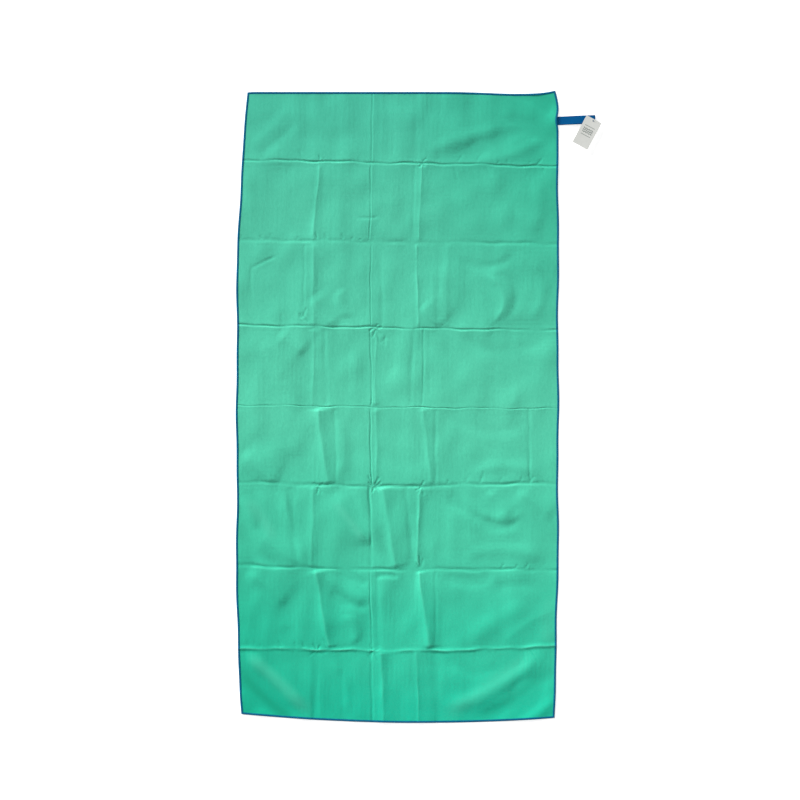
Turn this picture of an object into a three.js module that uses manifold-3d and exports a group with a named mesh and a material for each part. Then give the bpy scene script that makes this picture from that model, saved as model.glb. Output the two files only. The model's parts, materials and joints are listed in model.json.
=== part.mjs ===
// Quick dry towel: one microfibre cloth pressed into eight panels, overlocked all round,
// with a tape hanging loop and a card tag held by a plastic pin.
// Millimetres, +Z up. The towel lies flat with its length along Y and its loop towards +X.

import * as THREE from "three";
import { mergeVertices } from "three/addons/utils/BufferGeometryUtils.js";
import Module from "manifold-3d";

// ---- driving dimensions --------------------------------------------------------------------

const towelLength = 1386;
const towelWidth = 711;
const panelCount = 8;
const panelPitch = 178.7; // crease to crease, for the inner panels
const creaseShift = [2, 7, -2, 2, 9, 3, 4]; // how far each crease was pressed above its even place
const clothThickness = 0.8;
const bottomBow = 11; // how far the bottom edge is lower at its middle than at its corners
const cornerPull = {
  // how far each corner is drawn in from the full width, and over what length of side
  topLeft: { inset: 27, reach: 500 },
  topRight: { inset: 8, reach: 150 },
  bottomLeft: { inset: 11, reach: 330 },
  bottomRight: { inset: 10, reach: 500 },
};

const edgingWidth = 4.4;
const edgingThickness = 1.4;

const foldHeight = 4.1; // hinge line of a crease that closes upwards, above the floor
const foldDepth = 0.15; // hinge line of a crease that closes downwards, below the floor

const tapeWidth = 19;
const tapeThickness = 0.9;
const loopLength = 77.5;
const loopHeight = 6.5;
const loopFromTop = 61.5; // centre of the tape, below the top edge of the towel
const stitchLength = 4.2;
const stitchWidth = 17;
const stitchThickness = 1.8;

const tagWidth = 37.5;
const tagLength = 66.5;
const tagThickness = 0.4;
const tagCornerRadius = 2.5;
const tagHoleRadius = 1.7;
const tagHoleFromEnd = 4;
const tagAngle = 28.2; // how far the tag's free end swings towards the towel, in degrees

const pinFromLoopEnd = 4.8;
const pinShaftRadius = 0.6;
const pinBarLength = 7; // the bar lies over the tag and keeps it on
const pinBarThickness = 0.9;
const pinHeadRadius = 2.2; // the head lies inside the loop
const pinHeadThickness = 0.8;
const pinHoleRadius = 0.95;

const outlineStep = 35; // length of each straight run in the towel's curved sides
const bottomSteps = 10; // straight runs in the bottom edge

const gap = 0.3; // between pieces that touch on the real towel
const creaseEdge = gap / 2; // from a crease's middle to the plain edge of the panel that swings
const swingClearance = 0.2; // kept between a bevelled panel edge and the edge that swings past it

// ---- colours -------------------------------------------------------------------------------

const finish = (color, roughness) =>
  new THREE.MeshStandardMaterial({ color, roughness, metalness: 0 });
const microfibre = finish(0x58c4a0, 0.95);
const blueThread = finish(0x066f96, 0.8);
const blueTape = finish(0x045f9b, 0.75);
const greyCard = finish(0xcfd1cd, 0.7);
const clearPlastic = finish(0xeef0f0, 0.35);

// ---- solids --------------------------------------------------------------------------------

const wasm = await Module();
wasm.setup();

function toSolid(geometry) {
  const plain = geometry.clone();
  plain.deleteAttribute("normal");
  plain.deleteAttribute("uv");
  const merged = mergeVertices(plain, 1e-4);
  const mesh = new wasm.Mesh({
    numProp: 3,
    vertProperties: new Float32Array(merged.attributes.position.array),
    triVerts: new Uint32Array(merged.index.array),
  });
  return new wasm.Manifold(mesh);
}

function toGeometry(solid) {
  const mesh = solid.getMesh();
  const geometry = new THREE.BufferGeometry();
  geometry.setAttribute("position", new THREE.BufferAttribute(mesh.vertProperties, 3));
  geometry.setIndex(new THREE.BufferAttribute(mesh.triVerts, 1));
  geometry.computeVertexNormals();
  return geometry;
}

function outlineOf(points) {
  return new THREE.Shape(points.map(([u, v]) => new THREE.Vector2(u, v)));
}

// A flat outline in X and Y, raised from z = low by a height.
function slab(points, low, height) {
  const geometry = new THREE.ExtrudeGeometry(outlineOf(points), {
    depth: height,
    bevelEnabled: false,
  });
  return geometry.translate(0, 0, low);
}

// A section in Y and Z, run along X between two places.
function barAlongX(points, fromX, toX) {
  const geometry = new THREE.ExtrudeGeometry(outlineOf(points), {
    depth: toX - fromX,
    bevelEnabled: false,
  });
  geometry.rotateX(Math.PI / 2);
  geometry.rotateZ(Math.PI / 2);
  return geometry.translate(fromX, 0, 0);
}

// ---- outline of the towel ------------------------------------------------------------------

const topY = towelLength / 2;
const bottomY = -towelLength / 2;
const creaseY = [];
for (let crease = 1; crease < panelCount; crease += 1) {
  creaseY.push((panelCount / 2 - crease) * panelPitch + creaseShift[crease - 1]);
}

function pullAt(corner, distance) {
  return corner.inset * Math.max(0, 1 - distance / corner.reach) ** 2;
}

function curvedSideX(side, y) {
  const top = side < 0 ? cornerPull.topLeft : cornerPull.topRight;
  const bottom = side < 0 ? cornerPull.bottomLeft : cornerPull.bottomRight;
  const pulled = pullAt(top, topY - y) + pullAt(bottom, y - bottomY);
  return side * (towelWidth / 2 - pulled);
}

// Outer edge of the towel on one side, at a height y, as straight runs between even steps, so
// that the cloth and the edging follow one line. side is -1 on the left, +1 on the right.
function sideX(side, y) {
  const low = Math.floor(y / outlineStep) * outlineStep;
  const share = (y - low) / outlineStep;
  return (1 - share) * curvedSideX(side, low) + share * curvedSideX(side, low + outlineStep);
}

// The two ends of a stretch and every even step between them, from high to low.
function stepsBetween(high, low) {
  const steps = [high];
  for (let y = Math.ceil(high / outlineStep - 1) * outlineStep; y > low; y -= outlineStep) {
    steps.push(y);
  }
  steps.push(low);
  return steps;
}

// Outer edge of the towel at the bottom, at a place x.
function bottomEdgeY(x) {
  return bottomY + bottomBow * ((2 * x) / towelWidth) ** 2;
}

const edgingReach = edgingWidth + gap;
const meshes = [];

function addPiece(name, geometry, material) {
  const mesh = new THREE.Mesh(geometry, material);
  mesh.name = name;
  meshes.push(mesh);
  return mesh;
}

// ---- cloth panels --------------------------------------------------------------------------

// A panel ends in a plain edge at the crease above it, where it swings. It ends in a bevelled
// edge at the crease below it, outside the arc that the next panel's edge sweeps as it turns.
function bevelledEdge(y, closesUp) {
  const pivot = closesUp ? foldHeight : -foldDepth;
  const swept = Math.hypot(closesUp ? pivot : clothThickness - pivot, creaseEdge);
  const reachAt = (z) => {
    const across = Math.sqrt(Math.max(0, swept ** 2 - (z - pivot) ** 2));
    return y + Math.max(across, creaseEdge) + swingClearance;
  };
  const levels = closesUp ? [0, 0.25, 0.6, 1] : [1, 0.6, 0];
  return levels.map((level) => [reachAt(level * clothThickness), level * clothThickness]);
}

function clothSection(index) {
  const points = [];
  const top = index === 0 ? topY - edgingReach : creaseY[index - 1] - creaseEdge;
  points.push([top, clothThickness], [top, 0]);
  if (index === panelCount - 1) {
    const low = bottomY - bottomBow;
    points.push([low, 0], [low, clothThickness]);
    return points.reverse();
  }
  const closesUp = index % 2 === 0;
  const edge = bevelledEdge(creaseY[index], closesUp);
  points.push(...(closesUp ? edge : edge.slice().reverse()));
  return points.reverse();
}

// The cloth's own outline inside the edging, between two heights.
function clothOutline(index) {
  const top = index === 0 ? topY - edgingReach : creaseY[index - 1] + panelPitch / 4;
  const last = index === panelCount - 1;
  const bottom = last ? bottomEdgeY(towelWidth / 2) + edgingReach : creaseY[index] - panelPitch / 4;
  const heights = stepsBetween(top, bottom);
  const points = heights.map((y) => [sideX(-1, y) + edgingReach, y]);
  if (last) {
    const left = sideX(-1, bottom) + edgingReach;
    const right = sideX(1, bottom) - edgingReach;
    for (let step = 1; step < bottomSteps; step += 1) {
      const x = left + ((right - left) * step) / bottomSteps;
      points.push([x, bottomEdgeY(x) + edgingReach]);
    }
  }
  const rightSide = heights.reverse().map((y) => [sideX(1, y) - edgingReach, y]);
  return points.concat(rightSide);
}

for (let index = 0; index < panelCount; index += 1) {
  const section = toSolid(barAlongX(clothSection(index), -towelWidth, towelWidth));
  const outline = toSolid(slab(clothOutline(index), -clothThickness, 3 * clothThickness));
  addPiece(`cloth_panel_${index + 1}`, toGeometry(section.intersect(outline)), microfibre);
}

// ---- overlock edging -----------------------------------------------------------------------

// The thread stands higher than the cloth, so its strips leave more room at each crease.
function edgingRoom(closesUp) {
  const far = closesUp ? foldHeight : edgingThickness + foldDepth;
  const near = closesUp ? foldHeight - edgingThickness : foldDepth;
  return Math.sqrt(far ** 2 + creaseEdge ** 2 - near ** 2) + swingClearance;
}

for (const [side, label] of [[-1, "left"], [1, "right"]]) {
  for (let index = 0; index < panelCount; index += 1) {
    const first = index === 0;
    const last = index === panelCount - 1;
    const bottomCorner = bottomEdgeY(sideX(side, bottomY));
    const top = first ? topY : creaseY[index - 1] - creaseEdge;
    const bottom = last ? bottomCorner : creaseY[index] + edgingRoom(index % 2 === 0);
    const heights = stepsBetween(top, bottom);
    const outer = heights.map((y) => [sideX(side, y), y]);
    const inner = heights.reverse().map((y) => [sideX(side, y) - side * edgingWidth, y]);
    const points = outer.concat(inner);
    if (side > 0) points.reverse();
    addPiece(`${label}_edging_${index + 1}`, slab(points, 0, edgingThickness), blueThread);
  }
}

function crossEdging(name, outerY, innerOffset) {
  const cornerY = outerY(towelWidth / 2);
  const left = sideX(-1, cornerY) + edgingReach;
  const right = sideX(1, cornerY) - edgingReach;
  const points = [];
  for (let step = 0; step <= bottomSteps; step += 1) {
    const x = left + ((right - left) * step) / bottomSteps;
    points.push([x, outerY(x)]);
  }
  for (let step = bottomSteps; step >= 0; step -= 1) {
    const x = left + ((right - left) * step) / bottomSteps;
    points.push([x, outerY(x) + innerOffset]);
  }
  if (innerOffset < 0) points.reverse();
  addPiece(name, slab(points, 0, edgingThickness), blueThread);
}

crossEdging("top_edging", () => topY, -edgingWidth);
crossEdging("bottom_edging", bottomEdgeY, edgingWidth);

// ---- hanging loop --------------------------------------------------------------------------

const loopY = topY - loopFromTop;
const stitchX = sideX(1, loopY - stitchWidth / 2) + gap;
const loopEndRadius = loopHeight / 2;
const loopEndReach = Math.sqrt(
  (loopEndRadius + gap) ** 2 - (loopEndRadius - stitchThickness) ** 2,
); // from the stitching to the middle of the loop's round end, which rests over its corner
const loopStartX = stitchX + stitchLength + loopEndReach - loopEndRadius;
const loopEndX = loopStartX + loopLength;
const pinX = loopEndX - pinFromLoopEnd;

addPiece(
  "loop_stitching",
  new THREE.BoxGeometry(stitchLength, stitchWidth, stitchThickness).translate(
    stitchX + stitchLength / 2,
    loopY,
    stitchThickness / 2,
  ),
  blueThread,
);

// Outline of a flattened ring in X and Z: two straight runs joined by round ends.
function addRunsAndEnds(path, inset) {
  const radius = loopHeight / 2 - inset;
  const startX = loopStartX + loopHeight / 2;
  const endX = loopEndX - loopHeight / 2;
  path.moveTo(startX, loopHeight / 2 - radius);
  path.lineTo(endX, loopHeight / 2 - radius);
  path.absarc(endX, loopHeight / 2, radius, -Math.PI / 2, Math.PI / 2, false);
  path.lineTo(startX, loopHeight / 2 + radius);
  path.absarc(startX, loopHeight / 2, radius, Math.PI / 2, (3 * Math.PI) / 2, false);
  return path;
}

function loopGeometry() {
  const outer = addRunsAndEnds(new THREE.Shape(), 0);
  outer.holes.push(addRunsAndEnds(new THREE.Path(), tapeThickness));
  const band = new THREE.ExtrudeGeometry(outer, {
    depth: tapeWidth,
    bevelEnabled: false,
    curveSegments: 8,
  });
  band.rotateX(Math.PI / 2);
  band.translate(0, loopY + tapeWidth / 2, 0);
  const drill = new THREE.CylinderGeometry(pinHoleRadius, pinHoleRadius, 3 * tapeThickness, 12);
  drill.rotateX(Math.PI / 2);
  drill.translate(pinX, loopY, loopHeight - tapeThickness / 2);
  return toGeometry(toSolid(band).subtract(toSolid(drill)));
}

addPiece("hanging_loop", loopGeometry(), blueTape);

// ---- tag and the pin that holds it ---------------------------------------------------------

function tagShape() {
  const halfWidth = tagWidth / 2;
  const top = tagHoleFromEnd;
  const bottom = tagHoleFromEnd - tagLength;
  const r = tagCornerRadius;
  const shape = new THREE.Shape();
  shape.moveTo(-halfWidth + r, top);
  shape.absarc(-halfWidth + r, top - r, r, Math.PI / 2, Math.PI, false);
  shape.absarc(-halfWidth + r, bottom + r, r, Math.PI, 1.5 * Math.PI, false);
  shape.absarc(halfWidth - r, bottom + r, r, 1.5 * Math.PI, 2 * Math.PI, false);
  shape.absarc(halfWidth - r, top - r, r, 0, Math.PI / 2, false);
  const hole = new THREE.Path();
  hole.absarc(0, 0, tagHoleRadius, 0, 2 * Math.PI, true);
  shape.holes.push(hole);
  return shape;
}

const tag = addPiece(
  "hang_tag",
  new THREE.ExtrudeGeometry(tagShape(), {
    depth: tagThickness,
    bevelEnabled: false,
    curveSegments: 6,
  }),
  greyCard,
);
const tagLow = loopHeight + gap;
tag.position.set(pinX, loopY, tagLow);
tag.rotation.z = -THREE.MathUtils.degToRad(tagAngle);

// A turned head and shaft, from the head's lower face up, with a bar across the shaft's top.
function pinGeometry() {
  const headTop = loopHeight - tapeThickness - gap;
  const headLow = headTop - pinHeadThickness;
  const barLow = tagLow + tagThickness + gap;
  const profile = [
    [0, headLow],
    [pinHeadRadius - pinHeadThickness / 2, headLow],
    [pinHeadRadius, headLow + pinHeadThickness / 4],
    [pinHeadRadius, headTop],
    [pinShaftRadius, headTop],
    [pinShaftRadius, barLow + pinBarThickness / 2],
    [0, barLow + pinBarThickness / 2],
  ];
  const turned = new THREE.LatheGeometry(
    profile.map(([r, z]) => new THREE.Vector2(r, z)),
    16,
  );
  turned.rotateX(Math.PI / 2);
  const bar = new THREE.BoxGeometry(pinBarLength, pinBarThickness, pinBarThickness);
  bar.rotateZ(-THREE.MathUtils.degToRad(tagAngle));
  bar.translate(0, 0, barLow + pinBarThickness / 2);
  const solid = toSolid(turned).add(toSolid(bar));
  return toGeometry(solid).translate(pinX, loopY, 0);
}

addPiece("tag_pin", pinGeometry(), clearPlastic);

// ---- whole towel, with its origin under the middle of its box ------------------------------

const towel = new THREE.Group();
towel.add(...meshes);
towel.updateMatrixWorld(true);
const box = new THREE.Box3().setFromObject(towel, true);
const middle = box.getCenter(new THREE.Vector3());
towel.position.set(-middle.x, -middle.y, -box.min.z);
towel.updateMatrixWorld(true);

export default towel;
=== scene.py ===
# %% [markdown]
# # A quick dry towel, made in cells
# The towel is one thin microfibre cloth with a blue overlocked border, a tape loop to hang it by
# and a card tag on a plastic pin. It was folded small in its packet, so a grid of pressed folds
# and small wrinkles is still in the cloth. A fixed frame from the CAD model says where each piece
# is and how it moves. Here each soft piece is built again, close up, with its own finish.

# %% Load the frame
import json
import math

import bmesh
import bpy
import numpy as np
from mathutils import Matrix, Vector, noise


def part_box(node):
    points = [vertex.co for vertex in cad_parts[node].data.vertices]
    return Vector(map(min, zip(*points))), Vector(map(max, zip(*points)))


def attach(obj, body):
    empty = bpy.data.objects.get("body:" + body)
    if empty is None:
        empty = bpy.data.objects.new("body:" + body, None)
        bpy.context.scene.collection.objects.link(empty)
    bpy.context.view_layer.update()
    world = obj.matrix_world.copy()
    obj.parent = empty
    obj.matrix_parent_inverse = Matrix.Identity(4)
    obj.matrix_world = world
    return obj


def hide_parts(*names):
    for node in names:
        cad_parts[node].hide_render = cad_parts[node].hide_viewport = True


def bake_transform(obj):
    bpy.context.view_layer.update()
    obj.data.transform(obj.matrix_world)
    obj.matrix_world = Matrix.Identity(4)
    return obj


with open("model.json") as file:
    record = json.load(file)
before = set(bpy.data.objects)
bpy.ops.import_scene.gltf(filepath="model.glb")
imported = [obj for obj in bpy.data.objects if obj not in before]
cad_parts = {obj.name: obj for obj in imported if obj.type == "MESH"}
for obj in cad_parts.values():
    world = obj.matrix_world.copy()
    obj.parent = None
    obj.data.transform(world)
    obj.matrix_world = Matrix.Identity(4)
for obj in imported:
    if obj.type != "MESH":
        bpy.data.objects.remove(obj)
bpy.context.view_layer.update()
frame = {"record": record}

# %% [markdown]
# ## Where the towel lies
# The frame gives the box of each node and the place of each joint. From them come the middle of
# the cloth and the line of every fold. Lengths are in metres; MM turns millimetres into them.

# %% Places taken from the frame
MM = 0.001
PANELS = 8

middle_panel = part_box("cloth_panel_4")
CENTRE_X = (middle_panel[0][0] + middle_panel[1][0]) / 2
TOP_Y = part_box("top_edging")[1][1]
BOTTOM_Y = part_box("bottom_edging")[0][1]
CENTRE_Y = (TOP_Y + BOTTOM_Y) / 2
HALF_LENGTH = (TOP_Y - BOTTOM_Y) / 2
HALF_WIDTH = (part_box("right_edging_4")[1][0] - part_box("left_edging_4")[0][0]) / 2
fold_joints = {j["name"]: j for j in frame["record"]["behaviour"]["joints"]}
stitch_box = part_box("loop_stitching")
LOOP_ALONG = (stitch_box[0][1] + stitch_box[1][1]) / 2 - CENTRE_Y
FOLDS = [fold_joints[f"fold_{k}"]["pos_m"][1] - CENTRE_Y for k in range(1, PANELS)]
print("towel", round(2 * HALF_WIDTH, 3), "by", round(2 * HALF_LENGTH, 3), "folds", FOLDS)

# %% [markdown]
# ## The outline
# A towel that has been washed or folded is never a true rectangle: its corners are drawn in and
# its sides bow. Two short formulas give the sides and the ends, and both the cloth and its border
# follow them.

# %% Sides and ends of the towel
CORNERS = {  # how far each corner is drawn in, and over what length of side
    (-1, 1): (24.5 * MM, 500 * MM),
    (1, 1): (7.5 * MM, 48 * MM),
    (-1, -1): (11 * MM, 330 * MM),
    (1, -1): (9 * MM, 500 * MM),
}
BOTTOM_BOW = 13.5 * MM
EDGE_INSET = 0.8 * MM  # the edge stays this far inside the box of the frame
SETTLED = 0.12  # the slack of the sides dies out over this last stretch


def side_x(side, y):
    """The towel's outer edge at a height y; side is -1 on the left and 1 on the right."""
    y = np.asarray(y, float)
    pulled = 0.0
    for end in (1, -1):
        inset, reach = CORNERS[side, end]
        share = np.clip(1 - (HALF_LENGTH - end * y) / reach, 0, None)
        pulled = pulled + inset * share**2
    slack = 1.1 * MM * np.sin(y * 19 + 1.3 * side) + 0.5 * MM * np.sin(y * 47 + side)
    settled = np.clip((HALF_LENGTH - np.abs(y)) / SETTLED, 0, 1)
    if side > 0:  # the weight of the loop draws the edge in where it is sewn on
        pulled = pulled + 3.2 * MM * np.exp(-(((y - LOOP_ALONG) / 0.014) ** 2))
    return side * (HALF_WIDTH - pulled - EDGE_INSET) + slack * settled


def top_shift(x):
    """How far the top end strays from a straight line, at a place x: two raised corners, a dip."""
    u = np.asarray(x, float) / HALF_WIDTH
    dip = 4.2 * MM * np.exp(-(((u - 0.74) / 0.24) ** 2))
    tip = 4.6 * MM * np.exp(-(((u - 1.0) / 0.075) ** 2))
    round_corner = 4.2 * MM * np.exp(-(((u + 1.0) / 0.06) ** 2))
    return 2.6 * MM - dip + tip - round_corner


def bottom_shift(x):
    """How far the bottom end rises above its lowest line, at a place x."""
    u = np.asarray(x, float) / HALF_WIDTH
    lifted_left = 0.45 * np.clip(-u, 0, 0.85)
    return BOTTOM_BOW * (0.35 * np.abs(u) ** 3 + 0.65 * (u - 0.1) ** 2 + lifted_left)


print("width at the top", float(side_x(1, HALF_LENGTH) - side_x(-1, HALF_LENGTH)))

# %% [markdown]
# ## The relief of the cloth
# The cloth lies flat, so all of its life is in a few millimetres of height: sharp pressed folds,
# soft bands beside them, small creases that run into the folds, and slow waves. A cloth solver
# makes drapes well but can't remember how a packet pressed the cloth, so each fold is laid in
# as a stroke: a line with a cross profile. Four profiles are enough: a groove, a ridge, a
# step that falls to both sides unevenly, and a knife-sharp crease.

# %% Cross profiles of a stroke
def eased(share):
    """A share from 0 to 1 that starts and ends gently."""
    return share * share * (3 - 2 * share)


def groove(d, width):
    return -np.exp(-((d / width) ** 2))


def ridge(d, width):
    return np.exp(-((d / width) ** 2))


def step(d, width):
    """A sharp crest with a short slope before it and a long one behind, as over a pressed layer."""
    away = np.sqrt(d * d + (0.25 * width) ** 2) - 0.25 * width
    return np.where(d > 0, np.exp(-away / (1.2 * width)), np.exp(-away / (2.4 * width)))


def crease(d, width):
    """A knife fold: a fine groove in the middle of a slight ridge."""
    return 0.9 * np.exp(-np.abs(d) / (2.6 * width)) - 1.5 * np.exp(-((d / (0.55 * width)) ** 2))


for profile in (groove, ridge, step, crease):
    print(profile.__name__, "at its middle", float(profile(np.array(0.0), 1.0)))

# %% [markdown]
# ## Laying strokes
# A stroke runs from one point to another and may bow sideways in between. It fades at its ends,
# because a crease in cloth never stops dead. All strokes are added up on one grid of points.

# %% One stroke on the grid
def stroke_height(x, y, start, end, profile, width, height, bow=0.0, fade=0.18, wander=0.0):
    """Height that one stroke adds at the points x, y. Sizes are in millimetres."""
    (x0, y0), (x1, y1) = start, end
    dx, dy = x1 - x0, y1 - y0
    length = math.hypot(dx, dy)
    along = ((x - x0) * dx + (y - y0) * dy) / length**2
    across = ((x - x0) * dy - (y - y0) * dx) / length
    across = across - bow * 4 * along * (1 - along)
    beat = along * length / 29 + x0 * 0.7 + y0 * 0.013
    across = across + wander * (np.sin(beat) + 0.5 * np.sin(2.7 * beat))
    height = height * (1 - 0.22 * min(wander, 1.0) * (1 + np.sin(1.6 * beat + 1)))
    ends = eased(np.clip(np.minimum(along, 1 - along) / fade, 0, 1))
    return height * profile(across, width) * ends


sample = stroke_height(np.array([50.0]), np.array([0.0]), (0, 0), (100, 0), ridge, 5, 1.0)
print("a ridge of height 1 stands", round(float(sample[0]), 3), "high at its middle")

# %% [markdown]
# ## The seven pressed folds
# Each fold crosses the whole towel at a hinge of the frame. On the cloth it wanders a few
# millimetres, so each has five offsets from left to right, and a profile of its own.

# %% Lines of the seven folds
STATIONS = np.array([-331.0, -166.0, 0.0, 160.0, 331.0])
WANDER = [
    (7.5, 5.3, 0.5, -1.0, -7.5),
    (4.5, 5.5, -1.0, 0.5, -3.5),
    (6.0, 3.0, -0.5, -3.0, -5.5),
    (4.5, 2.5, -0.5, -2.0, -3.0),
    (7.0, 0.5, -4.0, 2.0, 4.5),
    (9.0, 1.0, -1.5, 0.0, -2.0),
    (4.0, 1.0, -2.5, 0.0, 9.0),
]
FOLD_PROFILES = [
    (crease, 4.2, 0.36),
    (groove, 4.0, 0.26),
    (crease, 4.0, 0.32),
    (crease, 2.4, 0.2),
    (groove, 3.6, 0.44),
    (groove, 3.6, 0.44),
    (ridge, 3.8, 0.52),
]


def fold_line(index, x):
    """Height along the towel of one fold at places x, in millimetres."""
    places = np.linspace(-360, 360, 49)
    straight = np.interp(places, STATIONS, WANDER[index])
    kernel = np.exp(-(np.arange(-6, 7) ** 2) / 12.0)
    padded = np.pad(straight, 6, mode="edge")
    smooth = np.convolve(padded, kernel / kernel.sum(), mode="valid")
    return FOLDS[index] / MM + np.interp(x, places, smooth)


print("folds at the middle", [round(float(fold_line(k, 0.0))) for k in range(PANELS - 1)])

# %% [markdown]
# ## Long folds and bands
# The packet also pressed the cloth lengthwise. Panel by panel these lines jog sideways, because
# the layers slid in the packet. `LONG_FOLDS` lists them for each panel: where the line is at the
# top and at the bottom of the panel, its profile, its width and its height, in millimetres.

# %% Lengthwise folds, panel by panel
LONG_FOLDS = {
    1: [
        (-54, -58, crease, 2.4, 0.41),
        (-32, -34, step, 4.0, 0.25),
        (-180, -186, ridge, 12.0, 0.22),
        (42, 40, groove, 7.0, 0.22),
        (96, 92, groove, 9.0, 0.20),
        (-128, -132, groove, 10.0, 0.14),
    ],
    2: [
        (-171, -187, step, 2.9, 0.68),
        (-58, -62, crease, 2.4, 0.38),
        (53, 47, step, 2.6, 0.50),
        (37, 33, groove, 4.0, 0.30),
        (-236, -238, groove, 8.0, 0.20),
        (262, 256, groove, 12.0, 0.18),
        (-148, -152, ridge, 9.0, 0.16),
    ],
    3: [
        (-186, -184, step, 3.4, 0.72),
        (-58, -60, crease, 2.4, 0.34),
        (-38, -34, groove, 6.0, 0.35),
        (42, 45, step, 2.2, 0.72),
        (92, 88, groove, 7.0, 0.40),
        (112, 106, ridge, 8.0, 0.30),
        (-205, -208, groove, 3.0, 0.25),
    ],
    4: [
        (-184, -186, step, 4.0, 0.54),
        (-160, -158, groove, 6.0, 0.35),
        (-60, -57, crease, 2.9, 0.44),
        (-47, -49, step, 2.8, 0.41),
        (35, 28, groove, 5.0, 0.30),
        (57, 55, groove, 2.2, 0.30),
        (262, 258, ridge, 9.0, 0.20),
    ],
    5: [
        (-176, -154, step, 6.8, 1.17),
        (-61, -57, crease, 3.0, 0.30),
        (-47, -46, step, 3.6, 0.45),
        (54, 76, step, 5.2, 0.59),
        (-138, -136, groove, 4.0, 0.20),
        (84, 82, groove, 4.0, 0.24),
        (288, 292, groove, 3.0, 0.30),
    ],
    6: [
        (-186, -190, step, 5.0, 0.45),
        (-34, -3, step, 7.2, 1.03),
        (-62, -58, groove, 3.0, 0.40),
        (48, 44, step, 3.8, 0.62),
        (18, 34, groove, 6.0, 0.25),
        (-236, -222, groove, 9.0, 0.40),
    ],
    7: [
        (-181, -150, step, 6.4, 1.22),
        (-61, -57, crease, 3.0, 0.18),
        (-44, -42, groove, 7.0, 0.25),
        (47, 70, step, 6.0, 1.22),
        (84, 82, groove, 3.0, 0.16),
    ],
    8: [
        (-36, -30, step, 6.8, 1.12),
        (-58, -56, groove, 3.0, 0.30),
        (-178, -182, groove, 9.0, 0.45),
        (42, 46, step, 3.6, 0.41),
        (-122, -120, groove, 8.0, 0.30),
        (84, 92, groove, 9.0, 0.22),
    ],
}

# How firmly each panel was pressed: the middle of the packet more than its outer layers.
PRESSED = {1: 0.75, 2: 0.7, 3: 0.72, 4: 0.85, 5: 1.15, 6: 1.3, 7: 1.3, 8: 1.15}
print(sum(len(lines) for lines in LONG_FOLDS.values()), "lengthwise folds")

# %% [markdown]
# ## Diagonals, arcs and corner pulls
# Where the towel was lifted and laid down, slow waves cross the panels. They are wider and softer
# than the pressed folds, and most of them curve, so each is given by three places: where it
# starts, a place it passes, and where it ends, in millimetres from the towel's middle.

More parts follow.
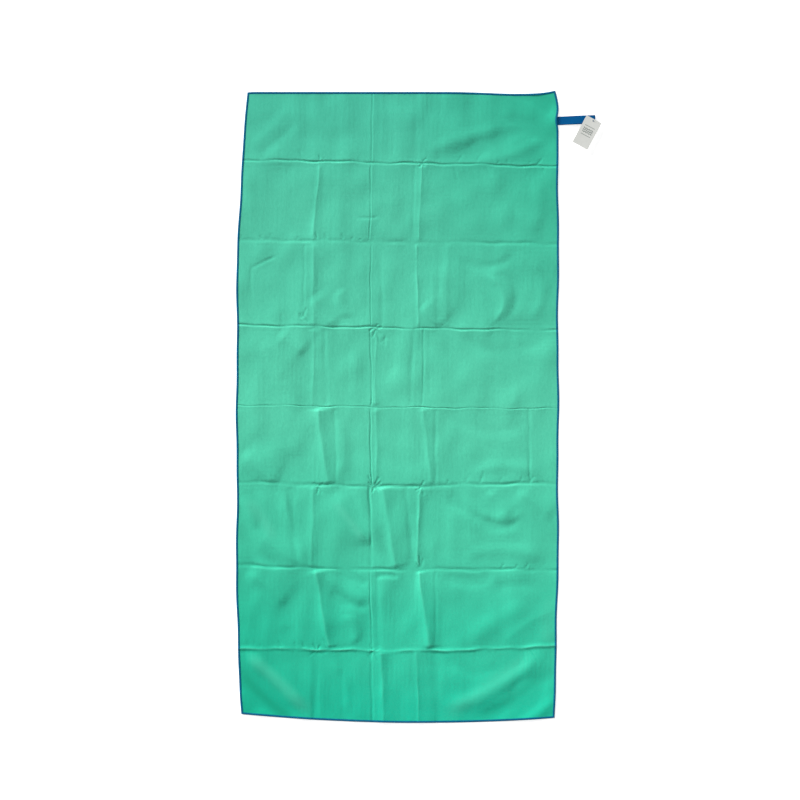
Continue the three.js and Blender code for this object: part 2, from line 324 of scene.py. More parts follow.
# %% Soft diagonals and arcs
SOFT = [  # start, a place it passes, end, profile, width and height
    # first panel: a fan that spreads from the right corner, and a dent at the left
    ((52, 560), (130, 588), (250, 622), ridge, 14, 0.45),
    ((96, 548), (200, 580), (322, 640), groove, 15, 0.36),
    ((150, 540), (262, 562), (345, 610), ridge, 13, 0.4),
    ((228, 640), (286, 622), (348, 560), groove, 12, 0.5),
    ((250, 690), (318, 668), (352, 600), groove, 11, 0.9),
    ((-318, 545), (-262, 590), (-214, 640), groove, 11, 0.25),
    ((-330, 568), (-276, 616), (-232, 668), ridge, 12, 0.22),
    # second panel
    ((-330, 520), (-322, 450), (-326, 372), ridge, 15, 0.25),
    ((286, 532), (312, 450), (300, 380), ridge, 16, 0.35),
    ((-92, 420), (-66, 418), (-38, 421), groove, 2.5, 0.22),
    # third panel: a sweep at the left, arcs at the right
    ((-326, 305), (-298, 320), (-262, 336), groove, 3, 0.28),
    ((-320, 318), (-323, 275), (-318, 235), groove, 3, 0.25),
    ((-186, 250), (-172, 212), (-132, 178), step, 10, 1.0),
    ((-120, 268), (-128, 230), (-96, 196), ridge, 13, 0.4),
    ((56, 232), (68, 202), (104, 182), step, 8, 0.8),
    ((128, 330), (184, 312), (262, 336), groove, 10, 0.4),
    ((186, 300), (228, 262), (204, 178), step, 8, 0.8),
    ((250, 300), (262, 250), (236, 190), groove, 11, 0.4),
    ((290, 340), (318, 262), (296, 190), ridge, 13, 0.4),
    # fourth panel
    ((-262, 168), (-236, 142), (-200, 120), step, 11, 0.85),
    ((-300, 150), (-272, 96), (-246, 60), ridge, 14, 0.35),
    ((-118, 150), (-106, 90), (-116, 20), groove, 14, 0.3),
    ((120, 168), (190, 130), (318, 150), groove, 13, 0.3),
    # fifth panel
    ((-342, -92), (-302, -138), (-256, -166), step, 11, 0.95),
    ((-318, -8), (-282, -60), (-238, -112), ridge, 16, 0.35),
    ((-138, -20), (-118, -86), (-132, -160), ridge, 13, 0.45),
    ((112, -18), (196, -50), (300, -28), groove, 14, 0.3),
    ((150, -150), (226, -128), (330, -152), ridge, 13, 0.4),
    # sixth panel: the strongest diagonals
    ((-250, -178), (-232, -262), (-196, -352), step, 12, 0.85),
    ((-140, -178), (-115, -229), (-62, -306), step, 14, 1.15),
    ((-96, -180), (-70, -236), (-30, -330), ridge, 12, 0.6),
    ((-318, -268), (-268, -308), (-192, -350), step, 12, 1.1),
    ((-345, -250), (-304, -322), (-240, -352), groove, 12, 0.6),
    ((-344, -190), (-324, -232), (-306, -300), ridge, 13, 0.5),
    ((112, -190), (160, -232), (190, -254), groove, 12, 0.75),
    ((170, -236), (222, -262), (274, -248), groove, 11, 0.55),
    ((168, -226), (222, -242), (286, -226), ridge, 12, 0.4),
    ((196, -180), (222, -206), (246, -246), step, 9, 0.7),
    ((258, -184), (296, -204), (342, -248), step, 11, 0.8),
    ((136, -330), (222, -312), (332, -336), ridge, 16, 0.55),
    ((84, -196), (96, -260), (92, -340), groove, 14, 0.35),
    # seventh panel
    ((-338, -360), (-286, -392), (-236, -440), step, 13, 0.95),
    ((-324, -396), (-278, -450), (-232, -498), ridge, 15, 0.4),
    ((-160, -366), (-108, -402), (-58, -428), ridge, 14, 0.7),
    ((-152, -404), (-104, -430), (-60, -442), groove, 11, 0.6),
    ((-130, -360), (-98, -372), (-64, -392), groove, 7, 0.6),
    ((-118, -452), (-92, -488), (-96, -524), ridge, 13, 0.5),
    ((-52, -372), (-28, -368), (6, -372), groove, 6, 0.5),
    ((98, -366), (160, -382), (214, -368), groove, 11, 0.7),
    ((200, -402), (276, -388), (346, -404), groove, 15, 0.45),
    ((150, -522), (212, -470), (292, -426), ridge, 20, 0.6),
    ((226, -524), (290, -470), (348, -444), step, 18, 0.8),
    # last panel: a firm roll across each corner
    ((-340, -534), (-262, -602), (-196, -668), ridge, 13, 1.5),
    ((-352, -574), (-298, -630), (-226, -684), groove, 13, 1.3),
    ((-352, -612), (-328, -648), (-286, -690), ridge, 12, 0.6),
    ((336, -528), (236, -606), (84, -664), ridge, 17, 0.95),
    ((360, -566), (270, -640), (130, -696), groove, 17, 0.6),
    ((352, -630), (316, -668), (252, -700), ridge, 13, 0.6),
    ((96, -540), (150, -576), (236, -566), groove, 14, 0.4),
    ((-150, -548), (-116, -606), (-122, -684), ridge, 15, 0.5),
]


def bow_through(start, via, end):
    """How far a stroke must bow to pass a place between its ends."""
    (x0, y0), (x1, y1), (x2, y2) = start, via, end
    dx, dy = x2 - x0, y2 - y0
    length = math.hypot(dx, dy)
    along = ((x1 - x0) * dx + (y1 - y0) * dy) / length**2
    across = ((x1 - x0) * dy - (y1 - y0) * dx) / length
    return across / (4 * along * (1 - along))


print(len(SOFT), "diagonals and arcs")

# %% [markdown]
# ## Small creases that run into the folds
# A pressed fold pulls short slanting creases out of the cloth beside it. They come in rows, so a
# loop lays them, with a seeded generator for their unevenness. Where a long fold meets a cross
# fold the cloth puckers, and a few strokes fan out like a bird's foot.

# %% Rows of short creases and the fans at the crossings
generator = np.random.default_rng(7)
FINE_WIDTH = 2.3


def crease_row(fold, low_x, high_x, count, side, lean, reach):
    """Short creases along one fold between two places; side is 1 above the fold, -1 below."""
    row = []
    for place in np.linspace(low_x, high_x, count):
        x = place + generator.normal(0, 14)
        length = 1.5 * reach * generator.uniform(0.4, 1.6)
        y = float(fold_line(fold, x)) + side * generator.uniform(0.5, 2.5)
        end = (x + lean * length * generator.uniform(0.3, 1.7), y + side * length)
        bow = generator.uniform(-2, 2)
        row.append(((x, y), end, groove, FINE_WIDTH, generator.uniform(0.06, 0.26), bow))
    return row


def crease_fan(x, y, arms):
    """Strokes that spread from one crossing; arms are pairs of an angle and a length."""
    fan = []
    for angle, length in arms:
        a = math.radians(angle)
        end = (x + length * math.cos(a), y + length * math.sin(a))
        height = generator.uniform(0.2, 0.45)
        fan.append(((x, y), end, groove, FINE_WIDTH, height, generator.uniform(-3, 3)))
    return fan


ROWS = [  # fold, from, to, how many, side, lean and reach
    (0, 120, 330, 7, -1, 0.55, 20),
    (0, 130, 330, 6, 1, 0.6, 11),
    (0, -290, -180, 4, 1, -0.4, 11),
    (1, -330, -40, 12, 1, -0.3, 7),
    (2, 128, 290, 5, -1, 0.4, 24),
    (2, -320, -200, 5, 1, -0.5, 15),
    (4, 120, 300, 7, 1, 0.45, 17),
    (4, -300, -180, 5, -1, 0.2, 15),
    (4, -300, -200, 4, 1, -0.3, 10),
    (6, -320, -130, 9, 1, -0.35, 13),
    (6, 110, 320, 8, -1, 0.5, 21),
    (6, -200, -60, 4, -1, 0.3, 12),
    (5, 220, 330, 4, 1, 0.7, 9),
]
FANS = [  # the crossing, and an angle and a length for each arm
    (-48, 176, [(248, 26), (215, 20), (310, 22), (285, 40), (20, 16), (55, 12)]),
    (-26, 160, [(262, 24), (235, 20)]),
    (-52, -172, [(118, 30), (140, 18), (35, 22), (60, 26), (255, 16), (320, 18)]),
    (-54, -534, [(110, 20), (250, 22), (300, 30), (230, 20), (20, 16)]),
    (-178, -534, [(60, 18), (120, 20), (215, 22), (330, 16)]),
    (-176, -172, [(40, 18), (300, 22), (260, 20), (150, 14)]),
    (54, 540, [(230, 14), (40, 16), (300, 12)]),
    (50, -354, [(75, 26), (96, 34), (120, 18)]),
    (52, -172, [(60, 16), (212, 18), (250, 20), (280, 24)]),
    (-208, 196, [(70, 30), (110, 16), (330, 16)]),
]
SMALL = [stroke for row in ROWS for stroke in crease_row(*row)]
SMALL += [stroke for fan in FANS for stroke in crease_fan(*fan)]
print(len(SMALL), "small creases")

# %% [markdown]
# ## Slow waves
# Under the folds the cloth still isn't level. A few long sine waves with different directions,
# and Blender's own noise for patches a hand wide, give it that slackness. All the strokes are
# added to them, and the sum is kept between the floor and the room in a closed fold.

# %% Height of the cloth at any point
TAPE_LIFT = 1.9  # the cloth lies over the sewn end of the tape, in millimetres
LIFT_REACH = 32.0
LOOP_PLACE = ((stitch_box[0][0] - CENTRE_X) / MM, LOOP_ALONG / MM)
REST_HEIGHT = 1.7  # middle height of the cloth's upper face, in millimetres
LEAST_HEIGHT, MOST_HEIGHT = 0.84, 5.6
RELIEF = 2.0  # how many times taller the strokes are laid in than listed


def slow_waves(x, y):
    total = 0.16 * np.sin(x / 61 + 0.6 * np.sin(y / 133)) * np.sin(y / 97 + 1.0)
    total += 0.13 * np.sin(x / 23 + 1.7 * np.sin(y / 71 + 2.0)) * np.sin(y / 160)
    total += 0.05 * np.sin(x / 9.5 + 0.9 * np.sin(y / 33)) * np.sin(y / 89 + 0.5)
    return total


def hand_wide_patches(x, y, cell=9.0):
    """Noise on a coarse grid, spread smoothly over the fine one."""
    xs = np.arange(-380, 381, cell)
    ys = np.arange(-720, 721, cell)
    coarse = np.array(
        [[noise.fractal(Vector((a / 74, b / 96, 3.0)), 1.0, 2.0, 2) for a in xs] for b in ys]
    )
    column = np.clip((x - xs[0]) / cell, 0, len(xs) - 1.001)
    row = np.clip((y - ys[0]) / cell, 0, len(ys) - 1.001)
    i, j = column.astype(int), row.astype(int)
    s, t = column - i, row - j
    s, t = eased(s), eased(t)
    top = coarse[j, i] * (1 - s) + coarse[j, i + 1] * s
    low = coarse[j + 1, i] * (1 - s) + coarse[j + 1, i + 1] * s
    return top * (1 - t) + low * t


def soft_limit(h):
    """Keeps heights between the floor and the middle of a closed fold, without a hard edge."""
    span = MOST_HEIGHT - REST_HEIGHT
    above = np.clip(h, 0, None)
    below = np.clip(-h, 0, None)
    room = REST_HEIGHT - LEAST_HEIGHT
    lifted = span * np.tanh(above / span)
    return lifted - room * np.tanh(below / room)


def free_height(x, y):
    """Height of the cloth's upper face before the folded packet is thought of, in millimetres."""
    h = slow_waves(x, y) + 0.8 * hand_wide_patches(x, y)
    breaks = [HALF_LENGTH / MM + 9] + [f / MM for f in FOLDS] + [-HALF_LENGTH / MM - 9]
    for panel, lines in LONG_FOLDS.items():
        upper, lower = breaks[panel - 1], breaks[panel]
        inside = (y < upper) & (y > lower)
        for top_x, low_x, profile, width, height in lines:
            ends = (top_x, upper), (low_x, lower)
            height *= PRESSED[panel]
            h[inside] += stroke_height(
                x[inside], y[inside], *ends, profile, width, height, fade=0.06, wander=0.9
            )
    for start, via, end, profile, width, height in SOFT:
        bow = bow_through(start, via, end)
        h += stroke_height(x, y, start, end, profile, width, height, bow, fade=0.25)
    for start, end, profile, width, height, bow in SMALL:
        near = (np.abs(x - start[0]) < 80) & (np.abs(y - start[1]) < 80)
        h[near] += stroke_height(x[near], y[near], start, end, profile, width, height, bow, fade=0.3)
    for index, (profile, width, height) in enumerate(FOLD_PROFILES):
        line = fold_line(index, x)
        uneven = 0.8 + 0.3 * np.sin(x / 37 + index * 1.9) + 0.25 * np.sin(x / 11 + index)
        jitter = 1.2 * np.sin(x / 23 + 2 * index) + 0.6 * np.sin(x / 9.1 + index)
        h += height * uneven * profile(y - line - jitter, width)
    loop_x, loop_y = LOOP_PLACE
    near_loop = np.exp(-((x - loop_x) ** 2 + (y - loop_y) ** 2) / LIFT_REACH**2)
    return REST_HEIGHT + soft_limit(RELIEF * h * (1 - near_loop) + TAPE_LIFT * near_loop)


print("height at the towel's middle", round(float(free_height(np.zeros(1), np.zeros(1))[0]), 2), "mm")

# %% [markdown]
# ## Room in the folded packet
# Panels 1 and 2 close face to face, and so do 3 and 4, 5 and 6, 7 and 8. A wave on one panel may
# be tall as long as the place it closes on is low, so the two heights are looked at together and
# both give way a little where their sum is more than the room between the panels.

# %% Height with the packet in mind
LAYER_GAP = 0.35
PACKET_ROOM = 2 * fold_joints["fold_1"]["pos_m"][2] / MM - LAYER_GAP
BEYOND = 60  # past the ends of the towel, in millimetres
PAIR_BLEND = 26.0  # how far from a fold the neighbouring pair still counts, in millimetres


def packet_share(x, y, height, pair):
    """Share of the height that is left where a pair of panels closes on itself."""
    mirrored = 2 * FOLDS[2 * pair] / MM - y
    return np.minimum(1, PACKET_ROOM / (height + free_height(x, mirrored)))


def cloth_height(x, y):
    """Height of the cloth's upper face at points x, y from the towel's middle, in millimetres."""
    height = free_height(x, y)
    share = np.ones_like(height)
    lines = [FOLDS[k] / MM for k in (1, 3, 5)]
    ends = [HALF_LENGTH / MM + BEYOND] + lines + [-HALF_LENGTH / MM - BEYOND]
    for pair in range(PANELS // 2):
        inside = (y <= ends[pair]) & (y > ends[pair + 1])
        share[inside] = packet_share(x[inside], y[inside], height[inside], pair)
    for pair, line in enumerate(lines):  # both pairs have a say close to the fold between them
        near = np.clip(1 - np.abs(y - line) / PAIR_BLEND, 0, 1)
        for other, side in ((pair + 1, y > line), (pair, y <= line)):
            spot = (near > 0) & side
            limit = packet_share(x[spot], y[spot], height[spot], other)
            share[spot] = np.minimum(share[spot], 1 - near[spot] * (1 - limit))
    return height * share


print("two layers share", round(PACKET_ROOM, 2), "mm in a closed fold")

# %% [markdown]
# ## The grid of the cloth
# Rows run across the towel. They lie close together at each fold, where the cloth turns sharply
# when the towel is folded up, and further apart between. The same grid is cut into seven strips
# at the middle of each inner panel, so each strip holds one fold, and where two strips meet they
# share every point and every normal, so the cut doesn't show.

# %% Rows, columns and the full sheet
COLUMN_STEP = 2.4 * MM
ROW_STEP = 2.6 * MM
PRESSED_LINES = (-180 * MM, -57 * MM, 47 * MM)  # lengthwise folds, where columns lie closer
CLOSE_STEP, CLOSE_REACH = 1.9 * MM, 9 * MM
SAMPLE_STEP = 0.5 * MM
HIDDEN = 1.2 * MM  # how far the cloth's cut edge lies inside the border's outer face
THICKNESS = 0.8 * MM


def evenly(high, low):
    """Rows from just under one height down to another, about one row step apart."""
    return list(np.linspace(high, low, max(2, round((high - low) / ROW_STEP)) + 1)[1:])


def fold_rows():
    """Row heights from the top of the towel to its bottom, and the index of each cut."""
    fine = np.concatenate([np.arange(0.35, 3.2, 0.7), np.arange(4.2, 13, 1.3)]) * MM
    near_fold = np.concatenate([fine[::-1], [0], -fine])
    stops = [HALF_LENGTH - HIDDEN] + FOLDS + [-HALF_LENGTH + HIDDEN]
    rows, cuts = [stops[0]], [0]
    for k, fold in enumerate(FOLDS):
        rows += evenly(rows[-1], fold + near_fold[0])
        rows += list(fold + near_fold[1:])
        middle = (fold + stops[k + 2]) / 2 if k < PANELS - 2 else stops[-1]
        rows += evenly(rows[-1], middle)
        cuts.append(len(rows) - 1)
    return np.array(rows), cuts


def column_shares():
    """Shares across the towel, close together at the lengthwise folds."""
    places = np.arange(-HALF_WIDTH, HALF_WIDTH, SAMPLE_STEP)
    density = sum(np.exp(-(((places - line) / CLOSE_REACH) ** 2)) for line in PRESSED_LINES)
    per_metre = 1 / COLUMN_STEP + density / CLOSE_STEP
    total = np.cumsum(per_metre)
    total = (total - total[0]) / (total[-1] - total[0])
    count = int(np.sum(per_metre) * SAMPLE_STEP)
    return np.interp(np.linspace(0, 1, count), total, np.linspace(0, 1, len(places)))


def place_on_towel(u, row_y):
    """Point of the cloth from its share across and its row, with the sides and ends bowed."""
    left = side_x(-1, row_y) + HIDDEN
    right = side_x(1, row_y) - HIDDEN
    x = left + (right - left) * u
    top_share = np.clip((row_y - FOLDS[0]) / (HALF_LENGTH - FOLDS[0]), 0, 1) ** 2
    low_share = np.clip((FOLDS[-1] - row_y) / (FOLDS[-1] + HALF_LENGTH), 0, 1) ** 1.5
    y = row_y + top_share * top_shift(x) + low_share * bottom_shift(x)
    return x, y


rows, cuts = fold_rows()
U, ROW = np.meshgrid(column_shares(), rows)
GRID_X, GRID_Y = place_on_towel(U, ROW)
GRID_Z = cloth_height(GRID_X / MM, GRID_Y / MM) * MM
print("cloth grid", GRID_X.shape, "height", GRID_Z.min() / MM, "to", GRID_Z.max() / MM, "mm")

# %% [markdown]
# ## Normals and painted light and shade
# A nap leans further than the cloth it grows on, so its shading turns a little more than the
# form does: the normals are taken from a relief half as tall again. Where the cloth bends most,
# painted shade darkens its grooves and a painted highlight pales its ridges, and a few bands of
# painted light and shade lie along the rolled corners and a few diagonals. A value on each point
# records both for the finish.

# %% Normals of the full sheet
NAP_LEAN = 1.5
SHARP_BEND = 340.0  # a bend this strong, in 1/m, already gets the full painted shade or highlight
# Bands of painted light and shade: start, a place passed, end, width and amount.
PAINTED_LIGHT_BANDS = [
    ((-344, -530), (-262, -602), (-180, -684), 17, 0.14),
    ((-356, -566), (-298, -632), (-214, -694), 12, -0.34),
    ((310, -530), (209, -608), (84, -686), 18, 0.13),
    ((336, -560), (262, -632), (150, -690), 11, -0.2),
    ((340, -536), (330, -470), (346, -400), 20, 0.10),
    ((-336, -192), (-300, -240), (-262, -300), 14, 0.12),
    ((-150, -200), (-116, -236), (-70, -300), 10, 0.12),
]


def sheet_normals(x, y, z):
    """Unit normals of the grid, so that neighbouring strips are shaded alike."""
    du = np.stack([np.gradient(a, axis=1) for a in (x, y, NAP_LEAN * z)], -1)
    dv = np.stack([np.gradient(a, axis=0) for a in (x, y, NAP_LEAN * z)], -1)
    n = np.cross(dv, du)
    n /= np.linalg.norm(n, axis=-1, keepdims=True)
    return np.where(n[..., 2:3] < 0, -n, n)


def sheet_bend(x, y, z):
    """How sharply the sheet bends: 0 in a groove, 0.5 where it is level, 1 on a ridge."""
    slope_x = np.gradient(z, axis=1) / np.gradient(x, axis=1)
    slope_y = np.gradient(z, axis=0) / np.gradient(y, axis=0)
    bend = np.gradient(slope_x, axis=1) / np.gradient(x, axis=1)
    bend = bend + np.gradient(slope_y, axis=0) / np.gradient(y, axis=0)
    return 0.5 - 0.5 * np.tanh(bend / SHARP_BEND)


def painted_band_light(x, y):
    """Bands of painted light and shade: a painted highlight above 0, painted shade below."""
    nap = np.zeros_like(x)
    for start, via, end, width, amount in PAINTED_LIGHT_BANDS:
        bow = bow_through(start, via, end)
        nap += stroke_height(x, y, start, end, ridge, width, amount, bow, fade=0.25)
    return nap


GRID_N = sheet_normals(GRID_X, GRID_Y, GRID_Z)
# Painted shade in the grooves, a painted highlight on the ridges, and the painted bands added on.
GRID_PAINTED_LIGHT_SHADE = sheet_bend(GRID_X, GRID_Y, GRID_Z) + painted_band_light(GRID_X / MM, GRID_Y / MM)
print("worn nap from", round(float(GRID_PAINTED_LIGHT_SHADE.min()), 2), "to", round(float(GRID_PAINTED_LIGHT_SHADE.max()), 2))

# %% [markdown]
# ## Small tools for meshes
# `new_mesh` makes an object from arrays of points and faces, and keeps a flat map of the cloth in
# its UVs, in metres. A weave drawn from that map stays on the cloth when it folds. The thread, the
# tape and the pin are all swept: rings of points in a row, joined by `ring_faces`.

# %% Mesh from arrays
def new_object(name, data):
    made = bpy.data.objects.new(name, data)
    bpy.context.scene.collection.objects.link(made)
    return made


def corner_points(mesh):
    """The point that each corner of each face belongs to."""
    corner = np.zeros(len(mesh.loops), np.int32)
    mesh.loops.foreach_get("vertex_index", corner)
    return corner


def new_mesh(name, points, faces, uv=None, smooth=None):
    mesh = bpy.data.meshes.new(name)
    mesh.from_pydata([tuple(p) for p in points], [], [tuple(f) for f in faces])
    if uv is not None:
        layer = mesh.uv_layers.new(name="flat_map")
        layer.data.foreach_set("uv", np.asarray(uv, np.float32)[corner_points(mesh)].ravel())
    shade = np.ones(len(mesh.polygons), bool) if smooth is None else np.asarray(smooth, bool)
    mesh.polygons.foreach_set("use_smooth", shade)
    mesh.update()
    return new_object(name, mesh)


def ring_faces(rings, sides):
    """Faces between rings of points that follow each other, and one face at each end."""
    j, k = np.meshgrid(np.arange(rings - 1), np.arange(sides), indexing="ij")
    a = (j * sides + k).ravel()
    b = (j * sides + (k + 1) % sides).ravel()
    faces = np.stack([a, b, b + sides, a + sides], -1).tolist()
    faces.append(list(range(sides))[::-1])
    faces.append([(rings - 1) * sides + k for k in range(sides)])
    return faces


def face_outwards(piece):
    """Turns every face of a closed piece to the outside."""
    bm = bmesh.new()
    bm.from_mesh(piece.data)
    bmesh.ops.recalc_face_normals(bm, faces=bm.faces)
    bm.to_mesh(piece.data)
    bm.free()
    return piece


def unit_rows(vectors):
    return vectors / np.linalg.norm(vectors, axis=1, keepdims=True)


def grid_faces(row_count, column_count, offset=0, flip=False):
    j, i = np.meshgrid(np.arange(row_count - 1), np.arange(column_count - 1), indexing="ij")
    a = (j * column_count + i).ravel() + offset
    b, c, d = a + 1, a + column_count + 1, a + column_count
    return np.stack([a, b, c, d] if flip else [a, d, c, b], -1)


print("a tube of 3 rings of 6 points has", len(ring_faces(3, 6)), "faces")

# %% [markdown]
# ## The cloth strips
# A strip is a closed thin solid: an upper face, a lower face 0.8 mm below it, and a rim. The
# normals of the full sheet are set on the upper and lower faces.

# %% Build the strips
def towel_to_row(x, y):
    return x + CENTRE_X, y + CENTRE_Y


def cloth_strip(number, first, last):
    """The closed strip of the sheet between two rows, with the normals of the full sheet."""
    grids = (GRID_X, GRID_Y, GRID_Z, GRID_N, GRID_PAINTED_LIGHT_SHADE)
    x, y, z, normal, painted_light_shade = (grid[first : last + 1] for grid in grids)
    upper = np.stack([*towel_to_row(x, y), z], -1).reshape(-1, 3)
    lower = upper - np.array([0, 0, THICKNESS])
    size = len(upper)
    index = np.arange(size).reshape(x.shape)
    edge = np.concatenate([index[0, :-1], index[:-1, -1], index[-1, :0:-1], index[:0:-1, 0]])
    after = np.roll(edge, -1)
    sheets = np.concatenate([grid_faces(*x.shape), grid_faces(*x.shape, size, flip=True)])
    rim = np.stack([edge, after, after + size, edge + size], -1)
    smooth = np.arange(len(sheets) + len(rim)) < len(sheets)
    flat = np.tile(np.stack([x, y], -1).reshape(-1, 2), (2, 1))
    points = np.concatenate([upper, lower])
    strip = new_mesh(f"cloth_strip_{number}", points, np.concatenate([sheets, rim]), flat, smooth)
    mesh = strip.data
    face_normals = np.zeros(3 * len(mesh.polygons), np.float32)
    mesh.polygons.foreach_get("normal", face_normals)
    normals = normal.reshape(-1, 3)
    normals = np.concatenate([normals, -normals])[corner_points(mesh)]
    rim_normals = face_normals.reshape(-1, 3)[len(sheets) :]
    normals[4 * len(sheets) :] = np.repeat(rim_normals, 4, axis=0)
    mesh.normals_split_custom_set(normals.tolist())
    # The painted light and shade goes on each point; the lower face takes the opposite.
    values = np.concatenate([painted_light_shade.ravel(), 1 - painted_light_shade.ravel()]).astype(np.float32)
    mesh.attributes.new("worn_nap", "FLOAT", "POINT").data.foreach_set("value", values)
    return strip


strips = [cloth_strip(k + 1, cuts[k], cuts[k + 1]) for k in range(PANELS - 1)]
print(len(strips), "strips,", sum(len(s.data.polygons) for s in strips), "faces")

# %% [markdown]
# ## The overlocked border
# An overlock machine wraps thread round the cut edge, stitch after stitch. Seen close it is a band
# of slanting ridges. A C-shaped section is swept along the edge, and its thickness swells and
# sinks with each stitch, so the ridges are real geometry.

# %% Section of the border
BORDER = 5.0 * MM
STITCH_STEP = 2.6 * MM
THREAD = 0.32 * MM
THREAD_SLANT = 0.45 * STITCH_STEP
FLOOR_GAP = 0.16 * MM
END_GAP = 0.3 * MM
CORNER_GAP = 0.6 * BORDER  # the end bands stop short of the side bands


def border_section(ztop, zlow, swell):
    """Closed outline of the thread round the cloth's edge: pairs of inward reach and height."""
    out = THREAD * (0.75 + 0.5 * swell)
    zero = np.zeros_like(ztop)
    middle = (ztop + zlow) / 2
    edge = HIDDEN - 0.05 * MM
    outline = [
        (zero + BORDER * 0.98, ztop + 0.04 * MM),
        (zero + BORDER * 0.93, ztop + out * 0.8),
        (zero + BORDER * 0.55, ztop + out),
        (zero + edge * 0.95, ztop + out * 0.95),
        (edge * 0.45 - out * 0.5, ztop + out * 0.15),
        (edge * 0.25 - out * 0.6, middle),
        (edge * 0.45 - out * 0.5, zlow - out * 0.05),
        (zero + edge * 0.95, np.maximum(zlow - out * 0.6, 0.03 * MM)),
        (zero + BORDER * 0.93, np.maximum(zlow - out * 0.5, 0.05 * MM)),
        (zero + BORDER * 0.98, np.maximum(zlow - 0.03 * MM, 0.09 * MM)),
        (zero + edge, np.maximum(zlow - 0.02 * MM, 0.12 * MM)),
        (zero + edge, ztop + 0.02 * MM),
    ]
    return np.array(outline)


print("the thread wraps", BORDER / MM, "mm of the edge")

# %% [markdown]
# ## Bands round the towel
# The side bands are cut where the cloth's strips are, and the end bands run between them. Each
# lies on the cloth that it wraps, so it rises and falls with it.

# %% Bands of the border
def border_band(name, x, y, inward, run):
    """A band along points x, y; inward is the unit direction into the cloth, run the length."""
    at_cloth = (x + inward[0] * HIDDEN) / MM, (y + inward[1] * HIDDEN) / MM
    ztop = cloth_height(*at_cloth) * MM
    zlow = np.maximum(ztop - THICKNESS, FLOOR_GAP)
    swell = 0.5 + 0.5 * np.cos(2 * np.pi * run / STITCH_STEP)
    outline = border_section(ztop, zlow, swell)
    points, flat = [], []
    for k, (reach, height) in enumerate(outline):
        slant = THREAD_SLANT * np.clip(reach / BORDER, 0, 1)
        placed = towel_to_row(x + inward[0] * reach, y + inward[1] * reach)
        points.append(np.stack([*placed, height], -1))
        flat.append(np.stack([run + slant, np.full_like(run, k / len(outline))], -1))
    points = np.stack(points, 1).reshape(-1, 3)
    flat = np.stack(flat, 1).reshape(-1, 2)
    return face_outwards(new_mesh(name, points, ring_faces(len(x), len(outline)), flat))


def side_band(name, side, high, low):
    count = max(8, int(round((high - low) / (STITCH_STEP / 4))))
    row_y = np.linspace(high, low, count + 1)
    x, y = place_on_towel(np.full_like(row_y, 0.0 if side < 0 else 1.0), row_y)
    inward = np.full_like(x, -side), np.zeros_like(x)
    return border_band(name, x + side * HIDDEN, y, inward, HALF_LENGTH - row_y)


def end_band(name, end):
    row_y = end * (HALF_LENGTH - HIDDEN)
    left, right = side_x(-1, row_y) + CORNER_GAP, side_x(1, row_y) - CORNER_GAP
    count = int(round((right - left) / (STITCH_STEP / 4)))
    share = CORNER_GAP / (2 * HALF_WIDTH)
    u = np.linspace(share, 1 - share, count + 1)
    x, y = place_on_towel(u, np.full_like(u, row_y))
    inward = np.zeros_like(x), np.full_like(x, -end)
    return border_band(name, x, y + end * HIDDEN, inward, x - left)


cut_heights = [HALF_LENGTH - END_GAP] + [rows[c] for c in cuts[1:-1]] + [-HALF_LENGTH + END_GAP]
bands = {
    (label, k + 1): side_band(f"{label}_border_{k + 1}", side, cut_heights[k], cut_heights[k + 1])
    for side, label in ((-1, "left"), (1, "right"))
    for k in range(PANELS - 1)
}
top_band = end_band("top_border", 1)
bottom_band = end_band("bottom_border", -1)
print(len(bands) + 2, "border pieces")

# %% [markdown]
# ## The hanging loop
# The loop is one piece of woven tape, doubled. Its two ends are stitched to the towel's edge and
# the far bend stands open a few millimetres, so a hook can pass. The tape is swept along its
# middle line. Its edges are a little thicker than its middle, as a woven selvedge is.

# %% Middle line of the tape
loop_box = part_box("hanging_loop")
LOOP_Y = (loop_box[0][1] + loop_box[1][1]) / 2
TAPE_WIDTH = loop_box[1][1] - loop_box[0][1]
TAPE = 0.85 * MM
TAPE_UNDER = 5 * MM  # how far the sewn end reaches under the towel
TAPE_CLEAR = 0.05 * MM  # between the tape and the floor
TAPE_TILT = 3.6 * MM  # how far the far end strays along the towel
seam_x = stitch_box[0][0]
bend_x = loop_box[1][0] - (loop_box[1][2] / 2)
bend_radius = loop_box[1][2] / 2 - TAPE / 2 - TAPE_CLEAR


def tape_line():
    """Points of the tape's middle line in X and Z, from its lower end round the bend and back."""
    low = TAPE / 2 + TAPE_CLEAR
    middle, high = low + bend_radius, low + 2 * bend_radius
    out_x = np.linspace(seam_x - TAPE_UNDER, bend_x, 96)
    share = np.clip((out_x - seam_x) / (bend_x - seam_x), 0, 1)
    under = np.stack([out_x, low + 0.35 * MM * np.sin(np.pi * share) ** 2], -1)
    angle = np.linspace(-np.pi / 2, np.pi / 2, 22)[1:-1]
    round_x = bend_x + bend_radius * np.cos(angle)
    round_end = np.stack([round_x, middle + bend_radius * np.sin(angle)], -1)
    rise = eased(np.clip((out_x - seam_x - 4.5 * MM) / (0.72 * (bend_x - seam_x)), 0, 1))
    rest = low + TAPE + 0.08 * MM
    over = np.stack([out_x, rest + (high - rest) * rise], -1)[::-1]
    return np.concatenate([under, round_end, over])


